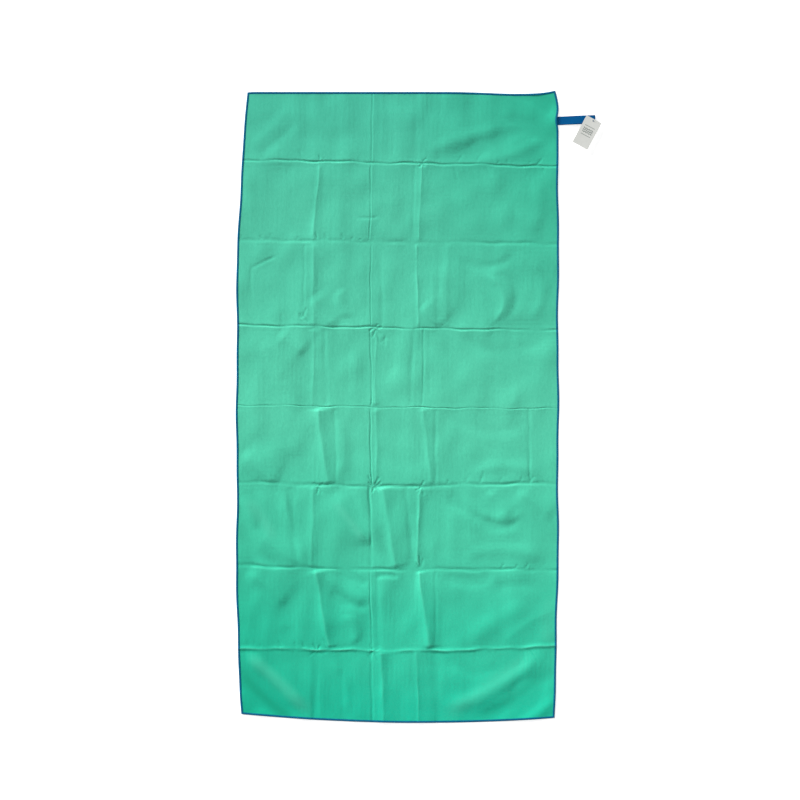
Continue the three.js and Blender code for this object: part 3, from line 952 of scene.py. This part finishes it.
def tape_mesh():
    line = tape_line()
    tangent = unit_rows(np.gradient(line, axis=0))
    normal = np.stack([-tangent[:, 1], tangent[:, 0]], -1)
    run = np.concatenate([[0], np.cumsum(np.linalg.norm(np.diff(line, axis=0), axis=1))])
    half = TAPE_WIDTH / 2
    v = np.linspace(-1, 1, 27)
    body = np.sqrt(np.clip(1 - np.abs(v) ** 14, 0, 1)) * 0.5
    selvedge = 0.06 * np.exp(-(((np.abs(v) - 0.9) / 0.05) ** 2))
    thick = TAPE * (body * 0.86 + selvedge + 0.02)
    ring_v = np.concatenate([v, v[::-1]])
    ring_t = np.concatenate([thick, -thick[::-1]])
    far = np.clip((line[:, 0] - seam_x) / (bend_x - seam_x), 0, 1)
    sway = TAPE_TILT * far**1.3 + 0.4 * MM * np.sin(run / run[-1] * np.pi * 3.2)
    points, flat = [], []
    for k in range(len(line)):
        x, z = line[k][:, None] + normal[k][:, None] * ring_t
        y = LOOP_Y + ring_v * half * 0.985 + sway[k]
        points.append(np.stack([x, y, z], -1))
        flat.append(np.stack([np.full_like(ring_v, run[k]), ring_v * half], -1))
    faces = ring_faces(len(line), len(ring_v))
    return face_outwards(new_mesh("loop_tape", np.concatenate(points), faces, np.concatenate(flat)))


loop_tape = tape_mesh()
print("tape", len(loop_tape.data.vertices), "points")

# %% [markdown]
# ## The bar tack
# A bar tack is a tight zigzag of thread over the tape. It is drawn as one thread: a zigzag line
# swept with a small round section.

# %% Thread swept along a line
TACK_TURNS = 22
TACK_THREAD = 0.24 * MM  # radius


def thread_mesh(name, line, radius, sides=6):
    line = np.asarray(line, float)
    tangent = unit_rows(np.gradient(line, axis=0))
    side = unit_rows(np.cross(tangent, np.array([0, 0, 1.0])))
    up = np.cross(side, tangent)
    angle = (np.arange(sides) * 2 * np.pi / sides)[:, None]
    ring = side[:, None] * np.cos(angle) + up[:, None] * np.sin(angle)
    points = (line[:, None] + radius * ring).reshape(-1, 3)
    run = np.repeat(np.arange(len(line)) * radius, sides)
    flat = np.stack([run, np.tile(angle[:, 0], len(line)) * radius], -1)
    return new_mesh(name, points, ring_faces(len(line), sides), flat)


def bar_tack():
    low_x, high_x = stitch_box[0][0] + 0.4 * MM, stitch_box[1][0] - 0.4 * MM
    low_y, high_y = LOOP_Y - TAPE_WIDTH * 0.44, LOOP_Y + TAPE_WIDTH * 0.44
    over = 2 * TAPE + 0.22 * MM
    line = []
    for k in range(TACK_TURNS + 1):
        y = low_y + (high_y - low_y) * k / TACK_TURNS
        ends = (low_x, high_x) if k % 2 == 0 else (high_x, low_x)
        for s in np.linspace(0, 1, 5)[:-1]:
            x = ends[0] + (ends[1] - ends[0]) * s
            crown = 0.12 * MM * math.sin(math.pi * s)
            line.append((x, y + s * (high_y - low_y) / TACK_TURNS, over + crown))
    return thread_mesh("bar_tack", line, TACK_THREAD)


tack = bar_tack()
print("bar tack", len(tack.data.vertices), "points")

# %% [markdown]
# ## The card tag
# A small rounded card with a punched hole, turned a little to the side on its pin.

# %% Outline of the card
PIN = fold_joints["tag_swivel"]["pos_m"]
tag_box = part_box("hang_tag")
CARD = tag_box[1][2] - tag_box[0][2]
CARD_WIDTH, CARD_LENGTH = 37.5 * MM, 66.5 * MM
CARD_ROUND = 2.5 * MM
HOLE_RADIUS, HOLE_FROM_END = 1.7 * MM, 4 * MM
CARD_GRID = 3 * MM
TAG_ANGLE = -math.radians(28.2)


def turned_with_tag(x, y):
    """A place on the card, measured from the pin, turned and moved to where the tag hangs."""
    c, s = math.cos(TAG_ANGLE), math.sin(TAG_ANGLE)
    return PIN[0] + c * x - s * y, PIN[1] + s * x + c * y


def arc_points(x, y, radius, start, sweep, count):
    """Points of an arc round x, y; the angles are in degrees."""
    angles = np.radians(np.linspace(start, start + sweep, count))
    return [(x + radius * math.cos(a), y + radius * math.sin(a)) for a in angles]


def card_outline():
    r = CARD_ROUND
    side, top = CARD_WIDTH / 2 - r, HOLE_FROM_END - r
    low = HOLE_FROM_END - CARD_LENGTH + r
    outline = []
    for x, y, start in ((side, top, 0), (-side, top, 90), (-side, low, 180), (side, low, 270)):
        outline += arc_points(x, y, r, start, 90, 9)
    return outline


print("card outline", len(card_outline()), "points")

# %% [markdown]
# ## The body of the card
# Thick card has a soft cut edge and never lies quite flat, so the outline is filled, given a fine
# grid, bent a little and bevelled at its rims.

# %% Body of the card
def filled_card(bm):
    """The flat card with its hole, cut into a grid so that it can bend."""
    outlines = card_outline(), arc_points(0, 0, HOLE_RADIUS, 0, 360, 33)[:-1]
    edges = []
    for outline in outlines:
        ring = [bm.verts.new((x, y, 0)) for x, y in outline]
        edges += [bm.edges.new((ring[k - 1], ring[k])) for k in range(len(ring))]
    bmesh.ops.triangle_fill(bm, use_beauty=True, edges=edges)
    across = ((1, 0, 0), -CARD_WIDTH / 2, CARD_WIDTH / 2)
    along = ((0, 1, 0), HOLE_FROM_END - CARD_LENGTH, HOLE_FROM_END)
    for axis, low, high in (across, along):
        for place in np.arange(low + CARD_GRID, high, CARD_GRID):
            everything = bm.verts[:] + bm.edges[:] + bm.faces[:]
            point = np.array(axis) * place
            bmesh.ops.bisect_plane(bm, geom=everything, plane_co=point, plane_no=axis, dist=1e-6)
    if sum(f.normal.z for f in bm.faces) < 0:
        bmesh.ops.reverse_faces(bm, faces=bm.faces[:])


def card_mesh():
    bm = bmesh.new()
    filled_card(bm)
    swelled = bmesh.ops.extrude_face_region(bm, geom=bm.faces[:])
    for v in [g for g in swelled["geom"] if isinstance(g, bmesh.types.BMVert)]:
        v.co.z += CARD
    bmesh.ops.recalc_face_normals(bm, faces=bm.faces[:])
    rims = [e for e in bm.edges if len(e.link_faces) == 2 and e.calc_face_angle(0) > 1.0]
    bmesh.ops.bevel(bm, geom=rims, offset=0.07 * MM, segments=2, affect="EDGES")
    layer = bm.loops.layers.uv.new("flat_map")
    for face in bm.faces:
        face.smooth = abs(face.normal.z) < 0.99
        for corner in face.loops:
            corner[layer].uv = (corner.vert.co.x, corner.vert.co.y)
    for v in bm.verts:
        down = (HOLE_FROM_END - v.co.y) / CARD_LENGTH
        bend = 0.9 * MM * down**2 + 0.5 * MM * (v.co.x / CARD_WIDTH) ** 2
        v.co = (*turned_with_tag(v.co.x, v.co.y), tag_box[0][2] + v.co.z + bend)
    mesh = bpy.data.meshes.new("card_tag")
    bm.to_mesh(mesh)
    bm.free()
    return new_object("card_tag", mesh)


card = card_mesh()
print("card", len(card.data.polygons), "faces")

# %% [markdown]
# ## The plastic pin
# The pin that shops fire through a tag: a thin bar above the card, a thread-thin shaft through the
# hole and the tape, and a small paddle inside the loop. The bar is a rod with round ends, and the
# shaft flares where it meets the paddle.

# %% Bar, shaft and paddle
pin_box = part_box("tag_pin")
BAR_RADIUS, BAR_LENGTH = 0.42 * MM, 6.4 * MM


def turned(profile, sides=20):
    """Points and faces of a profile of (radius, height) pairs turned about Z, closed at both ends."""
    points = [(x, y, z) for r, z in profile for x, y in arc_points(0, 0, r, 0, 360, sides + 1)[:-1]]
    return points, ring_faces(len(profile), sides)


def tag_pin():
    low, high = pin_box[0][2], pin_box[1][2]
    stem = [(1.5, 0.0), (2.0, 0.1), (2.15, 0.35), (2.0, 0.6), (1.4, 0.75), (0.75, 0.95), (0.5, 1.4)]
    profile = [(r * MM, low + z * MM) for r, z in stem]
    profile += [(BAR_RADIUS, high - 0.8 * MM), (BAR_RADIUS, high - 0.45 * MM)]
    points, faces = turned(profile)
    rod = []
    for t in np.linspace(-1, 1, 25):
        r = BAR_RADIUS * math.sqrt(max(1 - abs(t) ** 10, 0)) * (1.0 - 0.12 * t * t) + 0.02 * MM
        rod.append((r, t * BAR_LENGTH / 2))
    rod_points, rod_faces = turned(rod, 14)
    faces += [[len(points) + k for k in face] for face in rod_faces]
    points += [(z, y, high - 0.5 * MM + x) for x, y, z in rod_points]
    placed = [(*turned_with_tag(x, y), z) for x, y, z in points]
    return face_outwards(new_mesh("tag_fastener", placed, faces))


fastener = tag_pin()
print("pin", len(fastener.data.vertices), "points")

# %% [markdown]
# # Finishes
# Three effects are used by more than one material, so each is a node group: `weave` draws two
# sets of crossing threads, `patches` gives slow uneven colour, and `fibre` gives the short nap.
# They read the flat map, so they stay on the cloth as it folds. These tools wire the nodes.

# %% Small tools for node trees
def link(tree, source, target):
    tree.links.new(source, target)


def maths(tree, operation, a, b=None, clamp=False):
    node = tree.nodes.new("ShaderNodeMath")
    node.operation = operation
    node.use_clamp = clamp
    for place, value in enumerate((a, b)):
        if isinstance(value, (int, float)):
            node.inputs[place].default_value = value
        elif value is not None:
            link(tree, value, node.inputs[place])
    return node.outputs[0]


def above(tree, value, level, gain):
    """How far a value is above a level, times a gain and kept from 0 to 1."""
    return maths(tree, "MULTIPLY", maths(tree, "SUBTRACT", value, level), gain, clamp=True)


def split(tree, vector):
    parts = tree.nodes.new("ShaderNodeSeparateXYZ")
    link(tree, vector, parts.inputs[0])
    return parts.outputs["X"], parts.outputs["Y"]


def joined(tree, x, y):
    node = tree.nodes.new("ShaderNodeCombineXYZ")
    link(tree, x, node.inputs["X"])
    link(tree, y, node.inputs["Y"])
    return node.outputs[0]


def noise_mask(tree, vector, scale, detail, roughness):
    node = tree.nodes.new("ShaderNodeTexNoise")
    node.inputs["Detail"].default_value = detail
    node.inputs["Roughness"].default_value = roughness
    link(tree, vector, node.inputs["Vector"])
    link(tree, scale, node.inputs["Scale"])
    return node.outputs["Fac"]


def new_group(name, numbers, results):
    """A group that takes a map and some numbers. Returns it, its numbers, its end and X and Y."""
    group = bpy.data.node_groups.new(name, "ShaderNodeTree")
    group.interface.new_socket(name="Map", in_out="INPUT", socket_type="NodeSocketVector")
    for label, value in numbers.items():
        made = group.interface.new_socket(name=label, in_out="INPUT", socket_type="NodeSocketFloat")
        made.default_value = value
    for label in results:
        group.interface.new_socket(name=label, in_out="OUTPUT", socket_type="NodeSocketFloat")
    source = group.nodes.new("NodeGroupInput").outputs
    target = group.nodes.new("NodeGroupOutput").inputs
    return group, source, target, *split(group, source["Map"])


print("tools for node trees are ready")

# %% [markdown]
# ## Crossing threads
# A weave is a height that rises and falls along X and along Y. A slant turns the plain weave of
# the cloth into the twill of the tape and the twist of the thread.

# %% Weave group
def weave_group():
    numbers = {"Threads per metre": 1500.0, "Slant": 0.0}
    group, source, target, x, y = new_group("weave", numbers, ["Height"])
    turn = maths(group, "MULTIPLY", source["Threads per metre"], math.pi)
    warp_place = maths(group, "ADD", x, maths(group, "MULTIPLY", y, source["Slant"]))
    warp = maths(group, "SINE", maths(group, "MULTIPLY", warp_place, turn))
    weft = maths(group, "SINE", maths(group, "MULTIPLY", y, turn))
    height = maths(group, "MULTIPLY", maths(group, "ABSOLUTE", warp), maths(group, "ABSOLUTE", weft))
    link(group, height, target["Height"])
    return group


WEAVE = weave_group()
print("group", WEAVE.name)

# %% [markdown]
# ## Uneven colour
# No dyed thing is one even colour. A slow mask and a finer one come from the same map, and a
# stretch makes them longer one way.

# %% Patches group
def patches_group():
    group, source, target, x, y = new_group("patches", {"Size": 12.0, "Stretch": 1.0}, ["Slow", "Fine"])
    place = joined(group, maths(group, "MULTIPLY", x, source["Stretch"]), y)
    for label, factor, detail in (("Slow", 1.0, 3.0), ("Fine", 14.0, 4.0)):
        scale = maths(group, "MULTIPLY", source["Size"], factor)
        link(group, noise_mask(group, place, scale, detail, 0.6), target[label])
    return group


PATCHES = patches_group()
print("group", PATCHES.name)

# %% [markdown]
# ## Short fibres
# The nap of the cloth and the pulp of the card are short fibres. Brushing draws them out one way.

# %% Fibre group
def fibre_group():
    numbers = {"Fibres per metre": 900.0, "Brushed": 0.35}
    group, source, target, x, y = new_group("fibre", numbers, ["Height"])
    place = joined(group, x, maths(group, "MULTIPLY", y, source["Brushed"]))
    link(group, noise_mask(group, place, source["Fibres per metre"], 3.0, 0.65), target["Height"])
    return group


FIBRE = fibre_group()
print("group", FIBRE.name)

# %% [markdown]
# ## One way to start a material
# Every material here has a Principled shader, a map, and one or more of the groups. The numbers
# that don't change over the surface go on the shader's own sockets.

# %% Material tools
def linear(r, g, b):
    """An sRGB colour of 0 to 255 as a linear one."""
    out = []
    for value in (r, g, b):
        c = value / 255
        out.append(c / 12.92 if c <= 0.04045 else ((c + 0.055) / 1.055) ** 2.4)
    return (*out, 1.0)


def new_material(name, roughness, specular=0.5):
    material = bpy.data.materials.new(name)
    material.use_nodes = True
    tree = material.node_tree
    shader = tree.nodes["Principled BSDF"]
    shader.inputs["Roughness"].default_value = roughness
    shader.inputs["Specular IOR Level"].default_value = specular
    flat = tree.nodes.new("ShaderNodeUVMap")
    flat.uv_map = "flat_map"
    return material, tree, shader, flat.outputs["UV"]


def place_group(tree, group, flat, **values):
    node = tree.nodes.new("ShaderNodeGroup")
    node.node_tree = group
    link(tree, flat, node.inputs["Map"])
    for name, value in values.items():
        node.inputs[name.replace("_", " ")].default_value = value
    return node


def mix_colour(tree, factor, low, high):
    node = tree.nodes.new("ShaderNodeMix")
    node.data_type = "RGBA"
    factor_socket = next(s for s in node.inputs if s.name == "Factor")
    link(tree, factor, factor_socket)
    for name, value in (("A", low), ("B", high)):
        target = next(s for s in node.inputs if s.name == name and s.type == "RGBA")
        if isinstance(value, tuple):
            target.default_value = value
        else:
            link(tree, value, target)
    return next(s for s in node.outputs if s.type == "RGBA")


def ramp(tree, factor, stops):
    node = tree.nodes.new("ShaderNodeValToRGB")
    node.color_ramp.interpolation = "EASE"
    points = node.color_ramp.elements
    while len(points) < len(stops):
        points.new(0.5)
    for point, (place, colour) in zip(points, stops):
        point.position = place
        point.color = colour
    link(tree, factor, node.inputs["Fac"])
    return node.outputs["Color"]


def bump(tree, shader, layers, distance):
    """Adds heights, each with a share, and feeds them to the shader's normal as one bump."""
    total = None
    for height, share in layers:
        part = maths(tree, "MULTIPLY", height, share)
        total = part if total is None else maths(tree, "ADD", total, part)
    node = tree.nodes.new("ShaderNodeBump")
    node.inputs["Distance"].default_value = distance
    link(tree, total, node.inputs["Height"])
    link(tree, node.outputs["Normal"], shader.inputs["Normal"])


print("tools for materials are ready")

# %% [markdown]
# ## Mint microfibre
# Suede-faced microfibre has a nap so short that it shows as a soft bloom. Painted sheen changes
# the green along the towel: it is paler and greyer at the top and deeper at the bottom. A ramp
# along the flat map gives that, patches break it up, and sheen gives the bloom. Towards the right
# top and the left bottom the green is darker. Painted shade darkens the grooves of the folds, a
# painted highlight pales their ridges, and bands of painted light and shade lie along the rolled
# corners and a few diagonals.

# %% Cloth material
# Painted sheen along the towel: paler and greyer at the top, deeper at the bottom.
PAINTED_SHEEN_LENGTHWISE = [  # from the bottom of the towel to its top
    (0.0, linear(14, 190, 156)),
    (0.13, linear(46, 196, 160)),
    (0.3, linear(74, 201, 165)),
    (0.5, linear(88, 205, 170)),
    (0.8, linear(83, 197, 165)),
    (1.0, linear(73, 189, 160)),
]


def cloth_material():
    material, tree, shader, flat = new_material("mint_microfibre", 0.95, specular=0.05)
    shader.inputs["Sheen Weight"].default_value = 0.06
    shader.inputs["Sheen Roughness"].default_value = 0.45
    x, y = split(tree, flat)
    along = maths(tree, "ADD", maths(tree, "DIVIDE", y, 2 * HALF_LENGTH), 0.5, clamp=True)
    cloudy = place_group(tree, PATCHES, flat, Size=7.0, Stretch=1.6)
    streaky = place_group(tree, PATCHES, flat, Size=18.0, Stretch=6.0)
    mottle = place_group(tree, PATCHES, flat, Size=95.0, Stretch=1.8)
    nap = place_group(tree, FIBRE, flat, Fibres_per_metre=620.0, Brushed=0.4)
    weave = place_group(tree, WEAVE, flat, Threads_per_metre=1300.0, Slant=0.0)
    painted_light_shade = tree.nodes.new("ShaderNodeAttribute")
    painted_light_shade.attribute_name = "worn_nap"
    shade = maths(tree, "MULTIPLY", above(tree, cloudy.outputs["Slow"], 0.38, 1.5), 0.28)
    quarter = 1 / (HALF_WIDTH * HALF_LENGTH)
    # Darker towards the right top and the left bottom of the towel.
    corners = maths(tree, "MULTIPLY", maths(tree, "MULTIPLY", x, y), quarter, clamp=True)
    # The ramp paints the sheen of the light along the towel.
    tone = ramp(tree, along, PAINTED_SHEEN_LENGTHWISE)
    for mask, colour in (
        (shade, linear(66, 184, 152)),
        (above(tree, streaky.outputs["Fine"], 0.42, 0.55), linear(128, 216, 188)),
        (above(tree, mottle.outputs["Slow"], 0.4, 0.6), linear(58, 174, 142)),
        (above(tree, nap.outputs["Height"], 0.4, 0.6), linear(60, 172, 142)),
        (maths(tree, "MULTIPLY", corners, 0.68), linear(14, 168, 134)),
        # Painted highlight on ridges and bands, then painted shade in grooves and bands.
        (above(tree, painted_light_shade.outputs["Fac"], 0.52, 1.1), linear(118, 222, 192)),
        (above(tree, painted_light_shade.outputs["Fac"], 0.48, -1.3), linear(20, 140, 108)),
    ):
        tone = mix_colour(tree, mask, tone, colour)
    link(tree, tone, shader.inputs["Base Color"])
    layers = [
        (nap.outputs["Height"], 0.9),
        (weave.outputs["Height"], 0.25),
        (streaky.outputs["Slow"], 1.2),
        (streaky.outputs["Fine"], 0.5),
        (mottle.outputs["Slow"], 1.2),
    ]
    bump(tree, shader, layers, 0.2 * MM)
    return material


mint = cloth_material()
print("material", mint.name)

# %% [markdown]
# ## Blue overlock thread
# The ridges of the stitches are in the mesh. The material adds the twist of the thread, a painted
# highlight on the crown of each stitch with painted shade between, and a painted glint in slow patches.

# %% Border material
def thread_material(name, dark, light, painted_glint):
    material, tree, shader, flat = new_material(name, 0.7, specular=0.12)
    turn = maths(tree, "MULTIPLY", split(tree, flat)[0], 2 * math.pi / STITCH_STEP)
    # Painted highlight on the crown of each stitch, painted shade between the crowns.
    crown = maths(tree, "ADD", maths(tree, "MULTIPLY", maths(tree, "COSINE", turn), 0.5), 0.5)
    cloudy = place_group(tree, PATCHES, flat, Size=160.0, Stretch=1.0)
    twist = place_group(tree, WEAVE, flat, Threads_per_metre=2600.0, Slant=0.7)
    tone = mix_colour(tree, crown, dark, light)
    # Painted glint in slow random patches.
    tone = mix_colour(tree, maths(tree, "MULTIPLY", cloudy.outputs["Slow"], 0.4), tone, painted_glint)
    link(tree, tone, shader.inputs["Base Color"])
    bump(tree, shader, [(twist.outputs["Height"], 0.6), (cloudy.outputs["Fine"], 0.4)], 0.25 * MM)
    return material


# Each thread: its colour in painted shade between stitches, its painted highlight, its painted glint.
border_colours = linear(0, 72, 112), linear(0, 102, 142), linear(6, 124, 150)
tack_colours = linear(0, 62, 118), linear(8, 92, 150), linear(26, 120, 178)
border_thread = thread_material("border_thread", *border_colours)
tack_thread = thread_material("tack_thread", *tack_colours)
print("materials", border_thread.name, "and", tack_thread.name)

# %% [markdown]
# ## Blue tape
# The tape is a firm twill: fine ribs across its width with a painted highlight on their crests,
# a smooth selvedge darkened with painted shade, and a slight shine where it bends.

# %% Tape material
def tape_material():
    material, tree, shader, flat = new_material("blue_tape", 0.8, specular=0.06)
    across = split(tree, flat)[1]
    edge = maths(tree, "DIVIDE", maths(tree, "ABSOLUTE", across), TAPE_WIDTH / 2)
    # The darker colour along both edges is painted shade; the thicker selvedge itself is in the mesh.
    selvedge = maths(tree, "MULTIPLY", above(tree, edge, 0.8, 7.0), 0.75)
    cloudy = place_group(tree, PATCHES, flat, Size=40.0, Stretch=0.5)
    twill = place_group(tree, WEAVE, flat, Threads_per_metre=900.0, Slant=0.55)
    # Painted highlight: the crests of the twill are lighter.
    rib_highlight = maths(tree, "MULTIPLY", twill.outputs["Height"], 0.35)
    tone = mix_colour(tree, cloudy.outputs["Slow"], linear(0, 68, 122), linear(0, 88, 144))
    tone = mix_colour(tree, rib_highlight, tone, linear(4, 104, 160))
    tone = mix_colour(tree, selvedge, tone, linear(0, 46, 90))
    link(tree, tone, shader.inputs["Base Color"])
    bump(tree, shader, [(twill.outputs["Height"], 0.8), (cloudy.outputs["Fine"], 0.2)], 0.14 * MM)
    return material


tape_finish = tape_material()
print("material", tape_finish.name)

# %% [markdown]
# ## Pale card with a printed mark
# The card is uncoated and slightly grey. Its print is a generic sign for water: three even waves
# between two thin rules. It is drawn from distances on the flat map, not from a picture.

# %% Card material
def band_mask(tree, value, centre, half, soft):
    """1 where value is within half of centre, with a soft edge."""
    off = maths(tree, "ABSOLUTE", maths(tree, "SUBTRACT", value, centre))
    return maths(tree, "DIVIDE", maths(tree, "SUBTRACT", half + soft, off), soft, clamp=True)


def card_material():
    material, tree, shader, flat = new_material("pale_card", 0.78, specular=0.3)
    x, y = split(tree, flat)
    wave = maths(tree, "SINE", maths(tree, "MULTIPLY", x, 2 * math.pi / (6.4 * MM)))
    waved = maths(tree, "SUBTRACT", y, maths(tree, "MULTIPLY", wave, 0.9 * MM))
    lines = [band_mask(tree, waved, place * MM, 0.75 * MM, 0.25 * MM) for place in (-22, -26, -30)]
    lines += [band_mask(tree, y, place * MM, 0.4 * MM, 0.2 * MM) for place in (-15.5, -36.5)]
    printed = lines[0]
    for line in lines[1:]:
        printed = maths(tree, "MAXIMUM", printed, line)
    inside = band_mask(tree, x, 0.0, 11.5 * MM, 0.3 * MM)
    printed = maths(tree, "MULTIPLY", maths(tree, "MULTIPLY", printed, inside), 0.85)
    cloudy = place_group(tree, PATCHES, flat, Size=70.0, Stretch=1.0)
    fibres = place_group(tree, FIBRE, flat, Fibres_per_metre=2400.0, Brushed=1.0)
    tone = mix_colour(tree, cloudy.outputs["Slow"], linear(203, 205, 200), linear(214, 215, 211))
    speck = maths(tree, "MULTIPLY", fibres.outputs["Height"], 0.12)
    tone = mix_colour(tree, speck, tone, linear(178, 180, 174))
    tone = mix_colour(tree, printed, tone, linear(62, 82, 78))
    link(tree, tone, shader.inputs["Base Color"])
    bump(tree, shader, [(fibres.outputs["Height"], 0.7), (cloudy.outputs["Fine"], 0.3)], 0.06 * MM)
    return material


card_finish = card_material()
print("material", card_finish.name)

# %% [markdown]
# ## Clear plastic
# The pin is clear polypropylene. It passes light, has a soft gloss and is a little milky.

# %% Pin material
def plastic_material():
    material, tree, shader, _ = new_material("clear_plastic", 0.25)
    shader.inputs["Transmission Weight"].default_value = 0.55
    shader.inputs["IOR"].default_value = 1.49
    place = tree.nodes.new("ShaderNodeTexCoord").outputs["Object"]
    milky = place_group(tree, PATCHES, place, Size=900.0)
    tone = mix_colour(tree, milky.outputs["Slow"], linear(226, 232, 234), linear(246, 248, 248))
    link(tree, tone, shader.inputs["Base Color"])
    rough = maths(tree, "ADD", maths(tree, "MULTIPLY", milky.outputs["Fine"], 0.2), 0.15)
    link(tree, rough, shader.inputs["Roughness"])
    return material


plastic = plastic_material()
print("material", plastic.name)

# %% [markdown]
# ## Finishes on their pieces
# Each piece takes one finish. The two threads differ only in colour.

# %% Put the finishes on
for piece in strips:
    piece.data.materials.append(mint)
for piece in [*bands.values(), top_band, bottom_band]:
    piece.data.materials.append(border_thread)
loop_tape.data.materials.append(tape_finish)
tack.data.materials.append(tack_thread)
card.data.materials.append(card_finish)
fastener.data.materials.append(plastic)
print("materials", [m.name for m in bpy.data.materials])

# %% [markdown]
# ## Joining the pieces to the frame
# Each strip and each side band is baked where it lies, and the parts of the frame that it stands
# for are hidden; the tape is baked the same way. The end bands, the bar tack, the card and the pin
# are each joined to a body of the frame.


def bend_over_fold(piece):
    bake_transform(piece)


for number, strip in enumerate(strips, start=1):
    bend_over_fold(strip)
    panels = [number + 1] if number > 1 else [1, 2]
    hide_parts(*[f"cloth_panel_{k}" for k in panels])
    for label in ("left", "right"):
        band = bands[label, number]
        bend_over_fold(band)
        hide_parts(*[f"{label}_edging_{k}" for k in panels])

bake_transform(loop_tape)
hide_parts("hanging_loop")

for piece, body, slot, node in (
    (top_band, "panel_1", "edging", "top_edging"),
    (bottom_band, f"panel_{PANELS}", "edging", "bottom_edging"),
    (tack, "panel_1", "edging", "loop_stitching"),
    (card, "tag", "card", "hang_tag"),
    (fastener, "loop", "pin", "tag_pin"),
):
    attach(piece, body)
    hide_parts(node)

# %% [markdown]
# ## Seven strips, one sheet
# The cloth is one sheet on the real towel. Here it is seven strips that meet edge to edge, and
# together they make the whole cloth.

# %% [markdown]
# ## Floor
# The towel is seen straight from above on a white floor, which gives off a little light of its
# own, as a lit backdrop does. A sun from the upper left, low enough to graze the folds, shows the
# relief; a wide soft sky fills the shadows.

# %% Floor
FLOOR_REACH = 30.0


def add_floor():
    mesh = bpy.data.meshes.new("floor")
    corners = [(x * FLOOR_REACH, y * FLOOR_REACH, 0) for x, y in ((-1, -1), (1, -1), (1, 1), (-1, 1))]
    mesh.from_pydata(corners, [], [(0, 1, 2, 3)])
    material = bpy.data.materials.new("white_floor")
    material.use_nodes = True
    shader = material.node_tree.nodes["Principled BSDF"]
    shader.inputs["Base Color"].default_value = (0.93, 0.93, 0.93, 1)
    shader.inputs["Roughness"].default_value = 0.9
    shader.inputs["Specular IOR Level"].default_value = 0.1
    shader.inputs["Emission Color"].default_value = (1, 1, 1, 1)
    shader.inputs["Emission Strength"].default_value = 0.55
    mesh.materials.append(material)
    floor = new_object("floor", mesh)
    return floor


print("added", add_floor().name)

# %% [markdown]
# ## Light
# The low sun is wide, as the light of a large window is, so that the folds have soft edges.

# %% Suns and sky
def add_sun(name, towards, strength, angle):
    light = bpy.data.lights.new(name, "SUN")
    light.energy = strength
    light.angle = math.radians(angle)
    lamp = new_object(name, light)
    lamp.rotation_euler = Vector(towards).to_track_quat("-Z", "Y").to_euler()
    print(name, strength)


add_sun("grazing_light", (0.62, -0.78, -0.285), 6.6, 18)
add_sun("top_light", (-0.1, 0.15, -1.0), 0.3, 60)
world = bpy.data.worlds.new("soft_sky")
world.use_nodes = True
world.node_tree.nodes["Background"].inputs["Color"].default_value = (1, 1, 1, 1)
world.node_tree.nodes["Background"].inputs["Strength"].default_value = 0.36
bpy.context.scene.world = world
bpy.context.scene.view_settings.view_transform = "Standard"
bpy.context.scene.view_settings.look = "None"

# %% [markdown]
# ## Camera
# The camera looks straight down from high up with a long lens, so the sides stay parallel.

# %% Camera
VIEW_WIDTH = 1.76
DISTANCE = 9.0
camera_data = bpy.data.cameras.new("camera")
camera_data.sensor_width = 36
camera_data.lens = 36 * DISTANCE / VIEW_WIDTH
camera_data.clip_end = 100
camera = new_object("camera", camera_data)
camera.location = (CENTRE_X + 5.5 * MM, CENTRE_Y + 17.6 * MM, DISTANCE)
bpy.context.scene.camera = camera
print("camera", DISTANCE, "m up")
